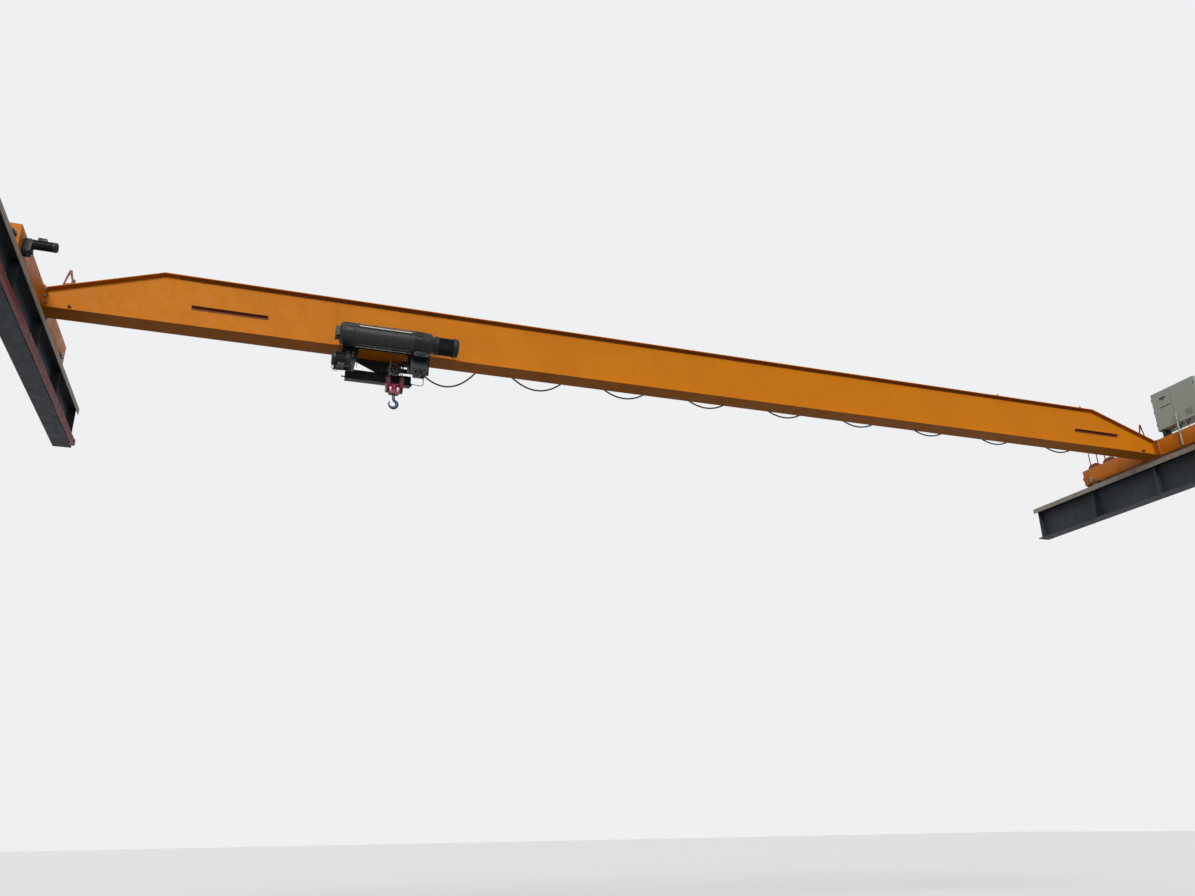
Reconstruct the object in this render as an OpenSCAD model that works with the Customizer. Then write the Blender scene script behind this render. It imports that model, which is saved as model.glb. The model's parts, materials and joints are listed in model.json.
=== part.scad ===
// Overhead bridge crane: one box girder on two end carriages, running on two
// lengths of crane runway, with a low headroom wire rope hoist on its bottom flange.
// X runs along the girder from the left rail to the right one, Y along the runway,
// Z up. The origin is on the underside of the left runway beam, at its middle.

/* [Runway] */
// Distance between the two rail centres
span = 20200; // [12000:100:26000]
// Length of each runway beam
runway_len = 6600; // [6000:100:9000]
// Height of a runway beam
runway_h = 700; // [500:10:900]
// Width of a runway beam's flanges
runway_w = 300; // [240:10:400]
// Thickness of a runway beam's flanges
runway_flange = 20; // [12:1:30]
// Thickness of a runway beam's web
runway_web = 12; // [8:1:20]
// Depth of the legs of the channel laid over a runway beam
cap_leg = 100; // [60:5:120]
// Thickness of that channel
cap_t = 12; // [8:1:16]
// Height of the conductor bar
bar_h = 80; // [50:5:100]
// Distance between a runway beam's stiffeners
stiffener_pitch = 1600; // [1000:50:2000]
// Width of the square rail's head
rail_w = 50; // [40:1:70]
// Height of the rail
rail_h = 50; // [40:1:70]

/* [Girder] */
// Depth of the girder between its knees
girder_h = 800; // [650:10:1000]
// Depth of the girder where it meets a carriage
girder_end_h = 300; // [280:5:340]
// Length of each sloping end of the girder
taper_len = 1480; // [1000:10:2500]
// Width of the girder's flanges
flange_w = 360; // [340:2:420]
// Thickness of the top flange
top_flange_t = 10; // [8:1:20]
// Thickness of the bottom flange
bottom_flange_t = 14; // [12:1:20]
// Distance over the outsides of the two webs
box_w = 224; // [200:2:240]
// Thickness of each web
web_t = 6; // [5:1:10]
// Length of the angle welded on each web near its ends
strip_len = 1060; // [600:10:1400]
// Width of that angle's two legs
strip_leg = 50; // [30:1:60]
// Distance from the left knee to the left strips
strip_knee_gap = 410; // [300:10:600]
// Distance the right strips reach past the right knee
strip_past_knee = 560; // [300:10:620]

/* [End carriages] */
// Distance between a carriage's two wheels
wheelbase = 3060; // [2600:20:3400]
// Distance from a wheel's axle to the end of its carriage
carriage_over = 220; // [180:5:320]
// Width of a carriage box
carriage_w = 200; // [190:2:240]
// Distance from the girder's underside down to the carriages' underside
carriage_drop = 24; // [0:2:30]
// Wall of a carriage box
carriage_wall = 10; // [8:1:12]
// Radius of a travel wheel's tread
wheel_r = 100; // [90:1:120]
// Depth of a travel wheel's flanges
wheel_flange = 16; // [12:1:22]
// Gap between the rail's top and the carriage
rail_gap = 50; // [40:1:60]
// Radius of a travel wheel's axle
axle_r = 28; // [20:1:35]
// Length of a rubber buffer
buffer_len = 90; // [60:5:120]
// Width of the control cabinet along the carriage
cabinet_w = 1000; // [800:10:1200]
// Height of the control cabinet
cabinet_h = 800; // [600:10:1000]
// Depth of the control cabinet
cabinet_d = 300; // [220:10:400]

/* [Trolley] */
// Distance from the left rail to the hook, as parked
hook_x = 4970; // [4500:10:8000]
// Distance between the trolley's wheels
trolley_base = 900; // [800:10:1000]
// Radius of a trolley wheel's tread
trolley_wheel_r = 60; // [50:1:70]
// Thickness of the trolley's plates
plate_t = 12; // [10:1:16]
// Radius of the rope drum over its grooves
drum_r = 145; // [120:1:150]
// Length of the rope drum
drum_len = 790; // [600:10:900]
// Distance from the girder's middle to the drum's axis
drum_y = 440; // [430:1:480]
// Height of the drum's axis over the girder's underside
drum_rise = 75; // [0:1:90]
// Gap between the drum and the round cover over it
cover_gap = 28; // [18:1:32]
// Length of the hoist motor
motor_len = 330; // [260:5:400]
// Length of the electrical panel
panel_len = 1010; // [700:10:1100]
// Height of the electrical panel
panel_h = 160; // [100:5:300]
// Depth of the electrical panel
panel_d = 120; // [100:5:300]

/* [Hook block] */
// Radius of a sheave at the bottom of its groove
sheave_r = 105; // [90:1:115]
// Distance between the two sheaves of the block
sheave_gap = 200; // [180:2:220]
// Height of the block's axle under the girder's underside
block_drop = 460; // [420:5:500]
// Diameter of the wire rope
rope_d = 12; // [8:1:14]
// Length of the hook's shank under the block
hook_drop = 50; // [20:5:80]
// Inside radius of the hook's bowl
hook_bowl_r = 35; // [30:1:42]
// Thickness of the hook's body
hook_body_d = 45; // [38:1:50]

/* [Festoon] */
// Number of cable loops
loops = 9; // [4:1:9]
// Depth of the later loops under their carriers
loop_sag = 470; // [300:10:520]
// Distance from the trolley's tow arm to the first carrier
first_loop = 1120; // [800:10:1400]
// Height of the carriers' track over the girder's underside
track_rise = 590; // [400:10:620]
// Distance from the girder's middle to the track
track_y = 350; // [320:5:420]
// Diameter of the bundled cable
cable_d = 26; // [16:1:30]

/* [Hidden] */

$fn = 64;
yellow = [0.93, 0.50, 0.04];
steel_grey = [0.30, 0.32, 0.34];
near_black = [0.10, 0.11, 0.11];
cabinet_grey = [0.72, 0.76, 0.72];
block_red = [0.72, 0.08, 0.12];
bar_red = [0.60, 0.10, 0.08];
bare_steel = [0.45, 0.46, 0.47];

// Gap left between a curved face and what it turns on or rolls on
running_gap = 0.3;
// Gap kept between pieces that move past each other
free_gap = 6;

rail_top = runway_h + rail_h;
under_z = rail_top + rail_gap;
axle_z = rail_top + wheel_r + running_gap;
top_z = under_z + girder_h;
lip_z = under_z + bottom_flange_t;
inner_face_x = carriage_w / 2;
carriage_len = wheelbase + 2 * carriage_over;
end_plate_t = 20;
girder_x0 = inner_face_x;
girder_x1 = span - inner_face_x;
knee_x0 = girder_x0 + taper_len;
knee_x1 = girder_x1 - taper_len;
web_x0 = girder_x0 + end_plate_t;
web_x1 = girder_x1 - end_plate_t;

// A box from its low corner to its high corner
module block(lo, hi) {
    translate(lo) cube(hi - lo);
}

// A round bar between two points on one axis direction
module bar_x(x0, x1, y, z, r) {
    translate([x0, y, z]) rotate([0, 90, 0]) cylinder(r = r, h = x1 - x0);
}

module bar_y(y0, y1, x, z, r) {
    translate([x, y0, z]) rotate([-90, 0, 0]) cylinder(r = r, h = y1 - y0);
}

module bar_z(z0, z1, x, y, r) {
    translate([x, y, z0]) cylinder(r = r, h = z1 - z0);
}

// A plate cut from an outline in X and Z, standing between two values of Y
module plate_xz(points, y0, y1) {
    translate([0, y1, 0]) rotate([90, 0, 0]) linear_extrude(y1 - y0) polygon(points);
}

// Runway
stiffener_inset = 15;
stiffeners = floor((runway_len - 2 * runway_flange) / stiffener_pitch / 2);

beam_half = runway_w / 2 - cap_t;
beam_top = runway_h - cap_t;

module runway_beam(x) {
    half = beam_half;
    half_len = runway_len / 2;
    translate([x, 0, 0]) {
        block([-half, -half_len, 0], [half, half_len, runway_flange]);
        block([-half, -half_len, beam_top - runway_flange], [half, half_len, beam_top]);
        block([-runway_web / 2, -half_len, 0], [runway_web / 2, half_len, beam_top]);
        for (k = [-stiffeners : stiffeners])
            translate([0, k * stiffener_pitch, 0])
                block([-half + stiffener_inset, -5, 1], [half - stiffener_inset, 5, beam_top - 1]);
    }
}

// A channel lies over each beam, with its legs down beside the top flange
module runway_cap(x) {
    half = runway_w / 2;
    half_len = runway_len / 2;
    translate([x, 0, 0])
        difference() {
            block([-half, -half_len, runway_h - cap_leg], [half, half_len, runway_h]);
            block([-beam_half, -half_len - 1, runway_h - cap_leg - 1], [beam_half, half_len + 1, beam_top]);
        }
}

module rail(x) {
    block([x - rail_w / 2, -runway_len / 2, runway_h], [x + rail_w / 2, runway_len / 2, rail_top]);
}

module left_runway_beam() { color(steel_grey) runway_beam(0); }
module right_runway_beam() { color(steel_grey) runway_beam(span); }

module runway_caps() {
    color(steel_grey)
        for (x = [0, span])
            runway_cap(x);
}

module runway_rails() {
    color(bare_steel)
        for (x = [0, span])
            rail(x);
}

// Power bar along the bottom flange of the left runway beam, on a holder at each stiffener
bar_w = 50;
bar_inset = 100;
bar_low = 4;
holder_reach = 12;

module conductor_bar() {
    x = beam_half + holder_reach;
    color(bar_red) {
        block([x, -runway_len / 2 + bar_inset, bar_low], [x + bar_w, runway_len / 2 - bar_inset, bar_low + bar_h]);
        for (k = [-stiffeners : stiffeners])
            translate([beam_half, k * stiffener_pitch, 0])
                block([0, -18, bar_low], [holder_reach + 1, 18, runway_flange]);
    }
}

// Girder
top_line = [
    [web_x0, under_z + girder_end_h],
    [knee_x0, top_z],
    [knee_x1, top_z],
    [web_x1, under_z + girder_end_h]];

function lowered(points, d) = [for (p = points) [p[0], p[1] - d]];
function reversed(points) = [for (k = [len(points) - 1 : -1 : 0]) points[k]];

module girder_top_flange() {
    color(yellow)
        plate_xz(concat(lowered(top_line, top_flange_t), reversed(top_line)), -flange_w / 2, flange_w / 2);
}

module girder_bottom_flange() {
    color(yellow)
        block([web_x0, -flange_w / 2, under_z], [web_x1, flange_w / 2, lip_z]);
}

module web(y0, y1) {
    plate_xz(concat([[web_x0, lip_z]], lowered(top_line, top_flange_t), [[web_x1, lip_z]]), y0, y1);
}

module girder_webs() {
    color(yellow) {
        web(-box_w / 2, -box_w / 2 + web_t);
        web(box_w / 2 - web_t, box_w / 2);
    }
}

// Each angle has one leg on the web and the other standing out along its top
strip_t = 5;
strip_z = under_z + girder_h * 0.36;

module web_strips() {
    color(yellow)
        for (x = [knee_x0 + strip_knee_gap, knee_x1 + strip_past_knee - strip_len])
            for (side = [0, 1])
                mirror([0, side, 0]) {
                    block([x, -box_w / 2 - strip_t, strip_z], [x + strip_len, -box_w / 2, strip_z + strip_leg]);
                    block([x, -box_w / 2 - strip_leg, strip_z + strip_leg - strip_t],
                          [x + strip_len, -box_w / 2, strip_z + strip_leg]);
                }
}

// End carriages
wheel_slot_half = wheel_r + wheel_flange + 24;
tread_w = rail_w + 2 * (free_gap + 1);
wheel_w = tread_w + 36;
carriage_top = under_z + girder_end_h;
carriage_low = under_z - carriage_drop;

module carriage_box() {
    half = carriage_w / 2;
    inner = half - carriage_wall;
    difference() {
        block([-half, -carriage_len / 2, carriage_low], [half, carriage_len / 2, carriage_top]);
        block([-inner, -carriage_len / 2 + carriage_wall, carriage_low + carriage_wall],
              [inner, carriage_len / 2 - carriage_wall, carriage_top - carriage_wall]);
        for (s = [-1, 1])
            block([-inner, s * wheelbase / 2 - wheel_slot_half, carriage_low - 1],
                  [inner, s * wheelbase / 2 + wheel_slot_half, carriage_low + carriage_wall + 1]);
    }
    for (s = [-1, 1])
        bar_x(-half - 14, half + 14, s * wheelbase / 2, axle_z, axle_r);
}

// The plate that joins the girder to a carriage, standing out past the webs
module joint_plate(x0, x1) {
    block([x0, -flange_w / 2 - 60, under_z], [x1, flange_w / 2 + 60, carriage_top]);
}

module left_end_carriage() {
    color(yellow) {
        carriage_box();
        joint_plate(inner_face_x, web_x0);
    }
}

module right_end_carriage() {
    color(yellow) {
        translate([span, 0, 0]) carriage_box();
        joint_plate(web_x1, span - inner_face_x);
    }
}

buffer_r = 50;
buffer_z = under_z + girder_end_h / 2;

module carriage_buffers() {
    color(near_black)
        for (x = [0, span])
            for (s = [-1, 1])
                translate([x, s * carriage_len / 2, buffer_z]) rotate([-90 * s, 0, 0]) {
                    cylinder(r = buffer_r + 15, h = 12);
                    cylinder(r = buffer_r, h = buffer_len);
                }
}

// A-shaped anchor brackets on the sloping ends, near the carriages
bracket_reach = 270;
bracket_h = 250;
bracket_t = 12;
bracket_half = 75;
bracket_bar = 30;
bracket_inset = 40;

module anchor_bracket(x) {
    slope = (girder_h - girder_end_h) / (taper_len - end_plate_t);
    base_z = under_z + girder_end_h + slope * (bracket_reach - end_plate_t);
    drop = slope * bracket_half;
    apex = base_z + bracket_h;
    hole = bracket_half - bracket_bar;
    for (y = [-flange_w / 2 + bracket_inset, flange_w / 2 - bracket_inset - bracket_t])
        difference() {
            plate_xz([[x - bracket_half, base_z - drop], [x + bracket_half, base_z + drop],
                      [x + bracket_bar * 0.6, apex], [x - bracket_bar * 0.6, apex]], y, y + bracket_t);
            plate_xz([[x - hole, base_z + bracket_bar], [x + hole, base_z + bracket_bar + slope * hole],
                      [x, apex - 2 * bracket_bar]], y - 1, y + bracket_t + 1);
        }
}

module anchor_brackets() {
    color(yellow) {
        anchor_bracket(girder_x0 + bracket_reach);
        translate([span, 0, 0]) mirror([1, 0, 0]) anchor_bracket(girder_x0 + bracket_reach);
    }
}

// Control cabinet on feet on the right carriage
cabinet_end_gap = 460;
cabinet_y0 = -carriage_len / 2 + cabinet_end_gap;
cabinet_y1 = cabinet_y0 + cabinet_w;
cabinet_foot = 150;

module control_cabinet() {
    x0 = span - carriage_w / 2;
    z0 = carriage_top + cabinet_foot;
    color(cabinet_grey) {
        block([x0, cabinet_y0, z0], [x0 + cabinet_d, cabinet_y1, z0 + cabinet_h]);
        for (y = [cabinet_y0 + 80, cabinet_y1 - 140])
            block([x0 + 10, y, carriage_top], [x0 + carriage_w - 10, y + 60, z0]);
    }
}

// Travel drives, each on the inner side of its carriage at the front wheel: a flat gear
// case over the axle, with the motor at its top
drive_case_r = 72;
drive_case_t = 90;
drive_motor_r = 65;
drive_len = 280;
drive_rise = 110;
drive_seat = inner_face_x + 14;

module travel_drive(x0, dir) {
    translate([x0, -wheelbase / 2, axle_z]) rotate([0, 90 * dir, 0]) {
        cylinder(r = drive_case_r, h = drive_case_t);
        translate([-drive_rise * dir, 0, 0]) {
            cylinder(r = drive_case_r, h = drive_case_t);
            translate([0, 0, drive_case_t]) cylinder(r = drive_motor_r, h = drive_len);
        }
        translate([dir > 0 ? -drive_rise : 0, -drive_case_r, 0]) cube([drive_rise, 2 * drive_case_r, drive_case_t]);
    }
}

module travel_drives() {
    color(near_black) {
        travel_drive(drive_seat, 1);
        travel_drive(span - drive_seat, -1);
    }
}

// Travel wheels
module travel_wheel(x, s) {
    translate([x, s * wheelbase / 2, axle_z]) rotate([0, 90, 0])
        difference() {
            union() {
                cylinder(r = wheel_r, h = wheel_w, center = true);
                for (k = [-1, 1])
                    translate([0, 0, k * (tread_w + wheel_w) / 4])
                        cylinder(r = wheel_r + wheel_flange, h = (wheel_w - tread_w) / 2, center = true);
                cylinder(r = axle_r + 22, h = carriage_w - 2 * carriage_wall - 2, center = true);
            }
            cylinder(r = axle_r + running_gap, h = carriage_w, center = true);
        }
}

module left_front_wheel() { color(bare_steel) travel_wheel(0, -1); }
module left_rear_wheel() { color(bare_steel) travel_wheel(0, 1); }
module right_front_wheel() { color(bare_steel) travel_wheel(span, -1); }
module right_rear_wheel() { color(bare_steel) travel_wheel(span, 1); }

// Trolley stops on the bottom flange
stop_inset = 250;

module trolley_stops() {
    color(yellow)
        for (x = [web_x0 + stop_inset, web_x1 - stop_inset - 60])
            for (s = [-1, 1])
                translate([x, 0, 0]) mirror([0, s > 0 ? 1 : 0, 0])
                    block([0, -flange_w / 2, lip_z], [60, -box_w / 2, lip_z + 70]);
}

// Trolley
lip_wheel_z = lip_z + trolley_wheel_r + running_gap;
trolley_tread_y = flange_w / 2 - 46;
trolley_flange_w = 14;
plate_y = flange_w / 2 + free_gap + trolley_flange_w + 15;
yoke_top = under_z - 90;
yoke_h = 100;
yoke_w = 120;
yoke_low = yoke_top - yoke_h;
yoke_back = 760;
yoke_ahead = 300;
plate_over = 60;
plate_top = under_z + 150;
plate_skirt = under_z - 30;
yoke_x0 = hook_x - yoke_back;
yoke_x1 = hook_x + yoke_ahead;
wheel_x0 = yoke_x0 + 90;
wheel_x1 = wheel_x0 + trolley_base;
plate_x0 = yoke_x0 - plate_over;
plate_x1 = max(yoke_x1 + yoke_w, wheel_x1 + trolley_wheel_r) + plate_over;
skirt_x0 = yoke_x0 + yoke_w;
drum_z = under_z + drum_rise;
drum_back = 640;
drum_x0 = hook_x - drum_back;
drum_x1 = drum_x0 + drum_len;
plate_face = plate_y + plate_t;

// The front plate has a leg at each end, for the trolley's drive and the gear case
leg_z = under_z - 420;
right_leg_z = under_z - 340;
trolley_drive_x = plate_x0 - 20;
trolley_drive_z = under_z - 330;
leg_x0 = trolley_drive_x - 90;

module front_outline() {
    plate_xz([[plate_x0, plate_top], [plate_x1, plate_top], [plate_x1, right_leg_z],
              [hook_x + 150, right_leg_z], [hook_x + 150, plate_skirt], [skirt_x0 + 60, plate_skirt],
              [skirt_x0, leg_z], [leg_x0, leg_z], [leg_x0, leg_z + 200], [plate_x0, yoke_top]],
             -plate_face, -plate_y);
}

// The rear plate has a lobe under the girder that holds the reeving beam
lobe_z = yoke_low;
lobe_x0 = hook_x - 260;
lobe_x1 = hook_x + 70;

module rear_outline() {
    plate_xz([[plate_x0, plate_top], [plate_x1, plate_top], [plate_x1, yoke_low], [yoke_x1, yoke_low],
              [yoke_x1 - 30, plate_skirt], [lobe_x1 + 30, plate_skirt], [lobe_x1, lobe_z],
              [lobe_x0, lobe_z], [skirt_x0 + 20, plate_skirt], [skirt_x0, yoke_low], [plate_x0, yoke_low]],
             plate_y, plate_face);
}

trolley_axle_r = 16;

module trolley_axles(s) {
    for (x = [wheel_x0, wheel_x1])
        if (s < 0)
            bar_y(-plate_y, -trolley_tread_y, x, lip_wheel_z, trolley_axle_r);
        else
            bar_y(trolley_tread_y, plate_y, x, lip_wheel_z, trolley_axle_r);
}

module trolley_front_plate() {
    color(near_black) {
        front_outline();
        trolley_axles(-1);
    }
}

module trolley_rear_plate() {
    color(near_black) {
        rear_outline();
        trolley_axles(1);
    }
}

yoke_wall = 8;

module trolley_yokes() {
    color(near_black)
        for (x = [yoke_x0, yoke_x1])
            difference() {
                block([x, -plate_y, yoke_low], [x + yoke_w, plate_y, yoke_top]);
                block([x + yoke_wall, -plate_y - 1, yoke_low + yoke_wall],
                      [x + yoke_w - yoke_wall, plate_y + 1, yoke_top - yoke_wall]);
            }
}

// Reeving: the return sheave turns on a pin under the reeving beam
rope_line = sheave_r + rope_d / 2 + running_gap;
return_y = rope_line;
return_r = sheave_gap / 2 - rope_d / 2 - running_gap;
return_z = yoke_low + yoke_h / 2;
beam_x0 = lobe_x0 + 30;
beam_t = 24;
beam_y = return_y + 30;
beam_z0 = yoke_top - 80;
beam_z1 = yoke_top - 10;
anchor_h = 60;
sheave_pin_r = 18;

module reeving_beam() {
    color(near_black) {
        block([beam_x0, beam_y, beam_z0], [yoke_x1, beam_y + beam_t, beam_z1]);
        block([beam_x0, beam_y, beam_z0], [beam_x0 + 60, plate_y, beam_z1]);
        bar_y(return_y - 16, beam_y + 1, hook_x, return_z, sheave_pin_r);
        block([hook_x + sheave_gap / 2 - 30, -rope_line - 14, yoke_top - anchor_h],
              [yoke_x1, -rope_line + 14, beam_z1]);
    }
}

module grooved_sheave(r, w, bore) {
    difference() {
        rotate_extrude()
            polygon([[bore, -w / 2], [r + rope_d, -w / 2], [r, -rope_d / 3], [r, rope_d / 3],
                     [r + rope_d, w / 2], [bore, w / 2]]);
        for (k = [0 : 5])
            rotate(60 * k) translate([(r + bore) / 2, 0, 0]) cylinder(r = (r - bore) / 4, h = w + 2, center = true, $fn = 32);
    }
}

module return_sheave() {
    color(bare_steel)
        translate([hook_x, return_y, return_z]) rotate([90, 0, 0]) grooved_sheave(return_r, 26, sheave_pin_r + running_gap);
}

// Drum with its end frames and tie bars
frame_r = drum_r + cover_gap + 6;
frame_t = 26;

stub_r = 30;
stub_len = 40;
tie_r = 7;

module end_frame(x) {
    bar_x(x, x + frame_t, -drum_y, drum_z, frame_r);
    block([x, -drum_y, drum_z - 60], [x + frame_t, -plate_face, plate_top]);
}

module drum_frame() {
    color(near_black) {
        end_frame(drum_x0 - free_gap - frame_t);
        end_frame(drum_x1 + free_gap);
        for (a = [70, 94, 280])
            bar_x(drum_x0 - free_gap - 1, drum_x1 + free_gap + 1, -drum_y + (frame_r - tie_r - 1) * cos(a),
                  drum_z + (frame_r - tie_r - 1) * sin(a), tie_r);
        bar_x(drum_x0 - free_gap - 1, drum_x0 + stub_len, -drum_y, drum_z, stub_r);
        bar_x(drum_x1 - stub_len, drum_x1 + free_gap + 1, -drum_y, drum_z, stub_r);
    }
}

groove_pitch = rope_d + 8;

module rope_drum() {
    grooves = floor((drum_len - 2 * stub_len) / groove_pitch);
    color(bare_steel)
        translate([drum_x0, -drum_y, drum_z]) rotate([0, 90, 0])
            difference() {
                cylinder(r = drum_r, h = drum_len);
                translate([0, 0, -1]) cylinder(r = stub_r + running_gap, h = drum_len + 2);
                for (k = [0 : grooves - 1])
                    translate([0, 0, stub_len + groove_pitch * (k + 0.5)])
                        rotate_extrude() translate([drum_r, 0]) circle(r = rope_d / 2, $fn = 16);
            }
}

cover_t = 4;

module drum_cover() {
    r0 = drum_r + cover_gap - cover_t;
    color(near_black)
        translate([drum_x0 - free_gap, -drum_y, drum_z]) rotate([90, 0, 90])
            rotate([0, 0, 100]) rotate_extrude(angle = 150, $fn = 96)
                translate([r0, 0]) square([cover_t, drum_len + 2 * free_gap]);
}

// Housing of the drum's far bearing and limit switch, with a small box on its end
housing_r = frame_r - 3;
housing_len = 220;
switch_box = 60;

module drum_end_housing() {
    x1 = drum_x0 - free_gap - frame_t;
    color(near_black) {
        bar_x(x1 - housing_len, x1, -drum_y, drum_z, housing_r);
        block([x1 - housing_len - switch_box, -drum_y - 90, drum_z - 80],
              [x1 - housing_len + 1, -drum_y + 90, drum_z + 80]);
    }
}

gear_x0 = drum_x1 + free_gap + frame_t;
gear_len = 290;
stage_len = 70;
gear_block_len = 200;
gear_r = frame_r - 4;
stage_r = 130;
gear_y = drum_y + 60;

module hoist_gearbox() {
    x1 = gear_x0 + gear_len;
    color(near_black) {
        bar_x(gear_x0, x1, -drum_y, drum_z, gear_r);
        bar_x(x1 - 1, x1 + stage_len, -drum_y, drum_z, stage_r);
        block([gear_x0 + 20, -gear_y, under_z - 160], [gear_x0 + gear_block_len + 40, -plate_face, drum_z]);
        block([gear_x0, -plate_face - 143, right_leg_z], [plate_x1 - 40, -plate_face, under_z - 80]);
    }
}

motor_flange_r = 145;
motor_r = 134;
cowl_len = 80;
cowl_r = 148;

module hoist_motor() {
    x0 = gear_x0 + gear_len + stage_len;
    x1 = x0 + motor_len;
    color(near_black) {
        bar_x(x0, x0 + 25, -drum_y, drum_z, motor_flange_r);
        bar_x(x0 + 24, x1 - cowl_len + 1, -drum_y, drum_z, motor_r);
        bar_x(x1 - cowl_len, x1, -drum_y, drum_z, cowl_r);
        block([x0 + 60, -drum_y + 90, drum_z - 60], [x0 + 200, -drum_y + 185, drum_z + 60]);
    }
}

// The trolley's drive has its gear case on the front plate's leg and its motor across it
trolley_case_t = 100;
trolley_case_r = 100;
trolley_motor_r = 105;
trolley_motor_len = 270;

module trolley_drive() {
    x0 = trolley_drive_x - trolley_motor_len / 2;
    y = -plate_face - trolley_case_t - trolley_motor_r + 30;
    color(near_black) {
        bar_y(-plate_face - trolley_case_t, -plate_face, trolley_drive_x, trolley_drive_z, trolley_case_r);
        bar_x(x0, x0 + trolley_motor_len, y, trolley_drive_z, trolley_motor_r);
    }
}

panel_back = 728;
panel_x0 = hook_x - panel_back;
panel_y0 = plate_face + 30;
panel_top = under_z - 160;

module trolley_panel() {
    color(near_black) {
        block([panel_x0, panel_y0, panel_top - panel_h], [panel_x0 + panel_len, panel_y0 + panel_d, panel_top]);
        for (x = [yoke_x0 + yoke_w - 20, lobe_x1 - 40])
            block([x, plate_face, yoke_low + 2], [x + 20, panel_y0 + 1, panel_top]);
    }
}

// Festoon: a track behind the girder, with carriers that share the travel evenly
track_w = 40;
track_h = 40;
track_z = under_z + track_rise;
tow_reach = 460;
first_x = hook_x + tow_reach;
last_x = knee_x1 + 226;
loop_pitch = (last_x - first_x - first_loop) / (loops - 1);
arm_pitch = 2400;
track_x0 = knee_x0 + 300;
track_x1 = last_x + 150;

module festoon_track() {
    arms = floor((track_x1 - track_x0 - 200) / arm_pitch);
    color(yellow) {
        difference() {
            block([track_x0, track_y - track_w / 2, track_z], [track_x1, track_y + track_w / 2, track_z + track_h]);
            block([track_x0 - 1, track_y - track_w / 2 + 4, track_z + 4],
                  [track_x1 + 1, track_y + track_w / 2 - 4, track_z + track_h - 4]);
            block([track_x0 - 1, track_y - 7, track_z - 1], [track_x1 + 1, track_y + 7, track_z + 5]);
        }
        for (k = [0 : arms])
            translate([track_x0 + 100 + k * arm_pitch, 0, 0])
                block([0, box_w / 2, track_z + track_h], [40, track_y + track_w / 2, track_z + track_h + 10]);
    }
}

carrier_drop = 70;
carrier_half = 35;
truck_r = 11;

function carrier_x(k) = first_x + first_loop + (k - 1) * loop_pitch;

module cable_carrier(k) {
    x = carrier_x(k);
    color(near_black) {
        block([x - 30, track_y - 3, track_z - carrier_drop + 30], [x + 30, track_y + 3, track_z + 20]);
        for (s = [-1, 1])
            bar_y(track_y - 12, track_y + 12, x + s * 20, track_z + 4 + truck_r + running_gap, truck_r);
        block([x - carrier_half, track_y - 22, track_z - carrier_drop],
              [x + carrier_half, track_y + 22, track_z - carrier_drop + 30]);
    }
}

// The tow arm holds the trolley's end of the cable under the girder's rear side
tow_z = under_z - 30;

module tow_arm() {
    color(near_black)
        block([first_x - 20, plate_face, tow_z], [min(first_x + 20, plate_x1), track_y + 20, tow_z + 20]);
}

// The cable hangs in loops from the tow arm to the fixed end of the track
rings_per_loop = 9;
first_sag = 400;
cable_z = track_z - carrier_drop - cable_d / 2 - running_gap;
cable_tow_z = tow_z - cable_d / 2 - running_gap;

// The first loop starts lower, at the tow arm, and the next ones hang a little shallower each
function first_loop_point(t) = [
    first_x + t * first_loop,
    track_y,
    cable_tow_z + (cable_z - cable_tow_z) * t - first_sag * (1 - pow(2 * t - 1, 2))];
function loop_point(k, t) = [
    carrier_x(k + t),
    track_y,
    cable_z - loop_sag * (1 + 0.25 / k) * (1 - pow(2 * t - 1, 2))];

cable_path = concat(
    [for (j = [0 : rings_per_loop - 1]) first_loop_point(j / rings_per_loop)],
    [for (k = [1 : loops - 1]) for (j = [0 : rings_per_loop - 1]) loop_point(k, j / rings_per_loop)],
    [loop_point(loops - 1, 1)]);

function path_dir(path, k) =
    let (a = path[max(k - 1, 0)], b = path[min(k + 1, len(path) - 1)]) (b - a) / norm(b - a);

// One ring of a tube that never runs along the diagonal between X and Y
function unit(v) = v / norm(v);
function ring(path, k, r, sides) =
    let (d = path_dir(path, k), u = unit(cross(d, [1, 1, 0])), v = cross(d, u))
    [for (j = [0 : sides - 1]) path[k] + r * (cos(360 * j / sides) * u + sin(360 * j / sides) * v)];

module tube(path, r, sides = 8) {
    n = len(path);
    points = [for (k = [0 : n - 1]) each ring(path, k, r, sides)];
    sides_faces = [for (k = [0 : n - 2]) for (j = [0 : sides - 1])
        let (a = k * sides + j, b = k * sides + (j + 1) % sides)
        each [[a, b, b + sides], [a, b + sides, a + sides]]];
    caps = [[for (j = [sides - 1 : -1 : 0]) j], [for (j = [0 : sides - 1]) (n - 1) * sides + j]];
    polyhedron(points, concat(sides_faces, caps));
}

module festoon_cable() { color(near_black) tube(cable_path, cable_d / 2); }

// Trolley wheels
module trolley_wheel(x, s) {
    translate([x, 0, lip_wheel_z]) mirror([0, s > 0 ? 1 : 0, 0])
        difference() {
            union() {
                bar_y(-flange_w / 2 - free_gap, -trolley_tread_y, 0, 0, trolley_wheel_r);
                bar_y(-flange_w / 2 - free_gap - trolley_flange_w, -flange_w / 2 - free_gap, 0, 0, trolley_wheel_r + 8);
                bar_y(-plate_y + 1, -flange_w / 2 - free_gap, 0, 0, 30);
            }
            bar_y(-plate_y - 1, -trolley_tread_y + 1, 0, 0, trolley_axle_r + running_gap);
        }
}

module trolley_wheel_a() { color(bare_steel) trolley_wheel(wheel_x0, -1); }
module trolley_wheel_b() { color(bare_steel) trolley_wheel(wheel_x1, -1); }
module trolley_wheel_c() { color(bare_steel) trolley_wheel(wheel_x0, 1); }
module trolley_wheel_d() { color(bare_steel) trolley_wheel(wheel_x1, 1); }

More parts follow.
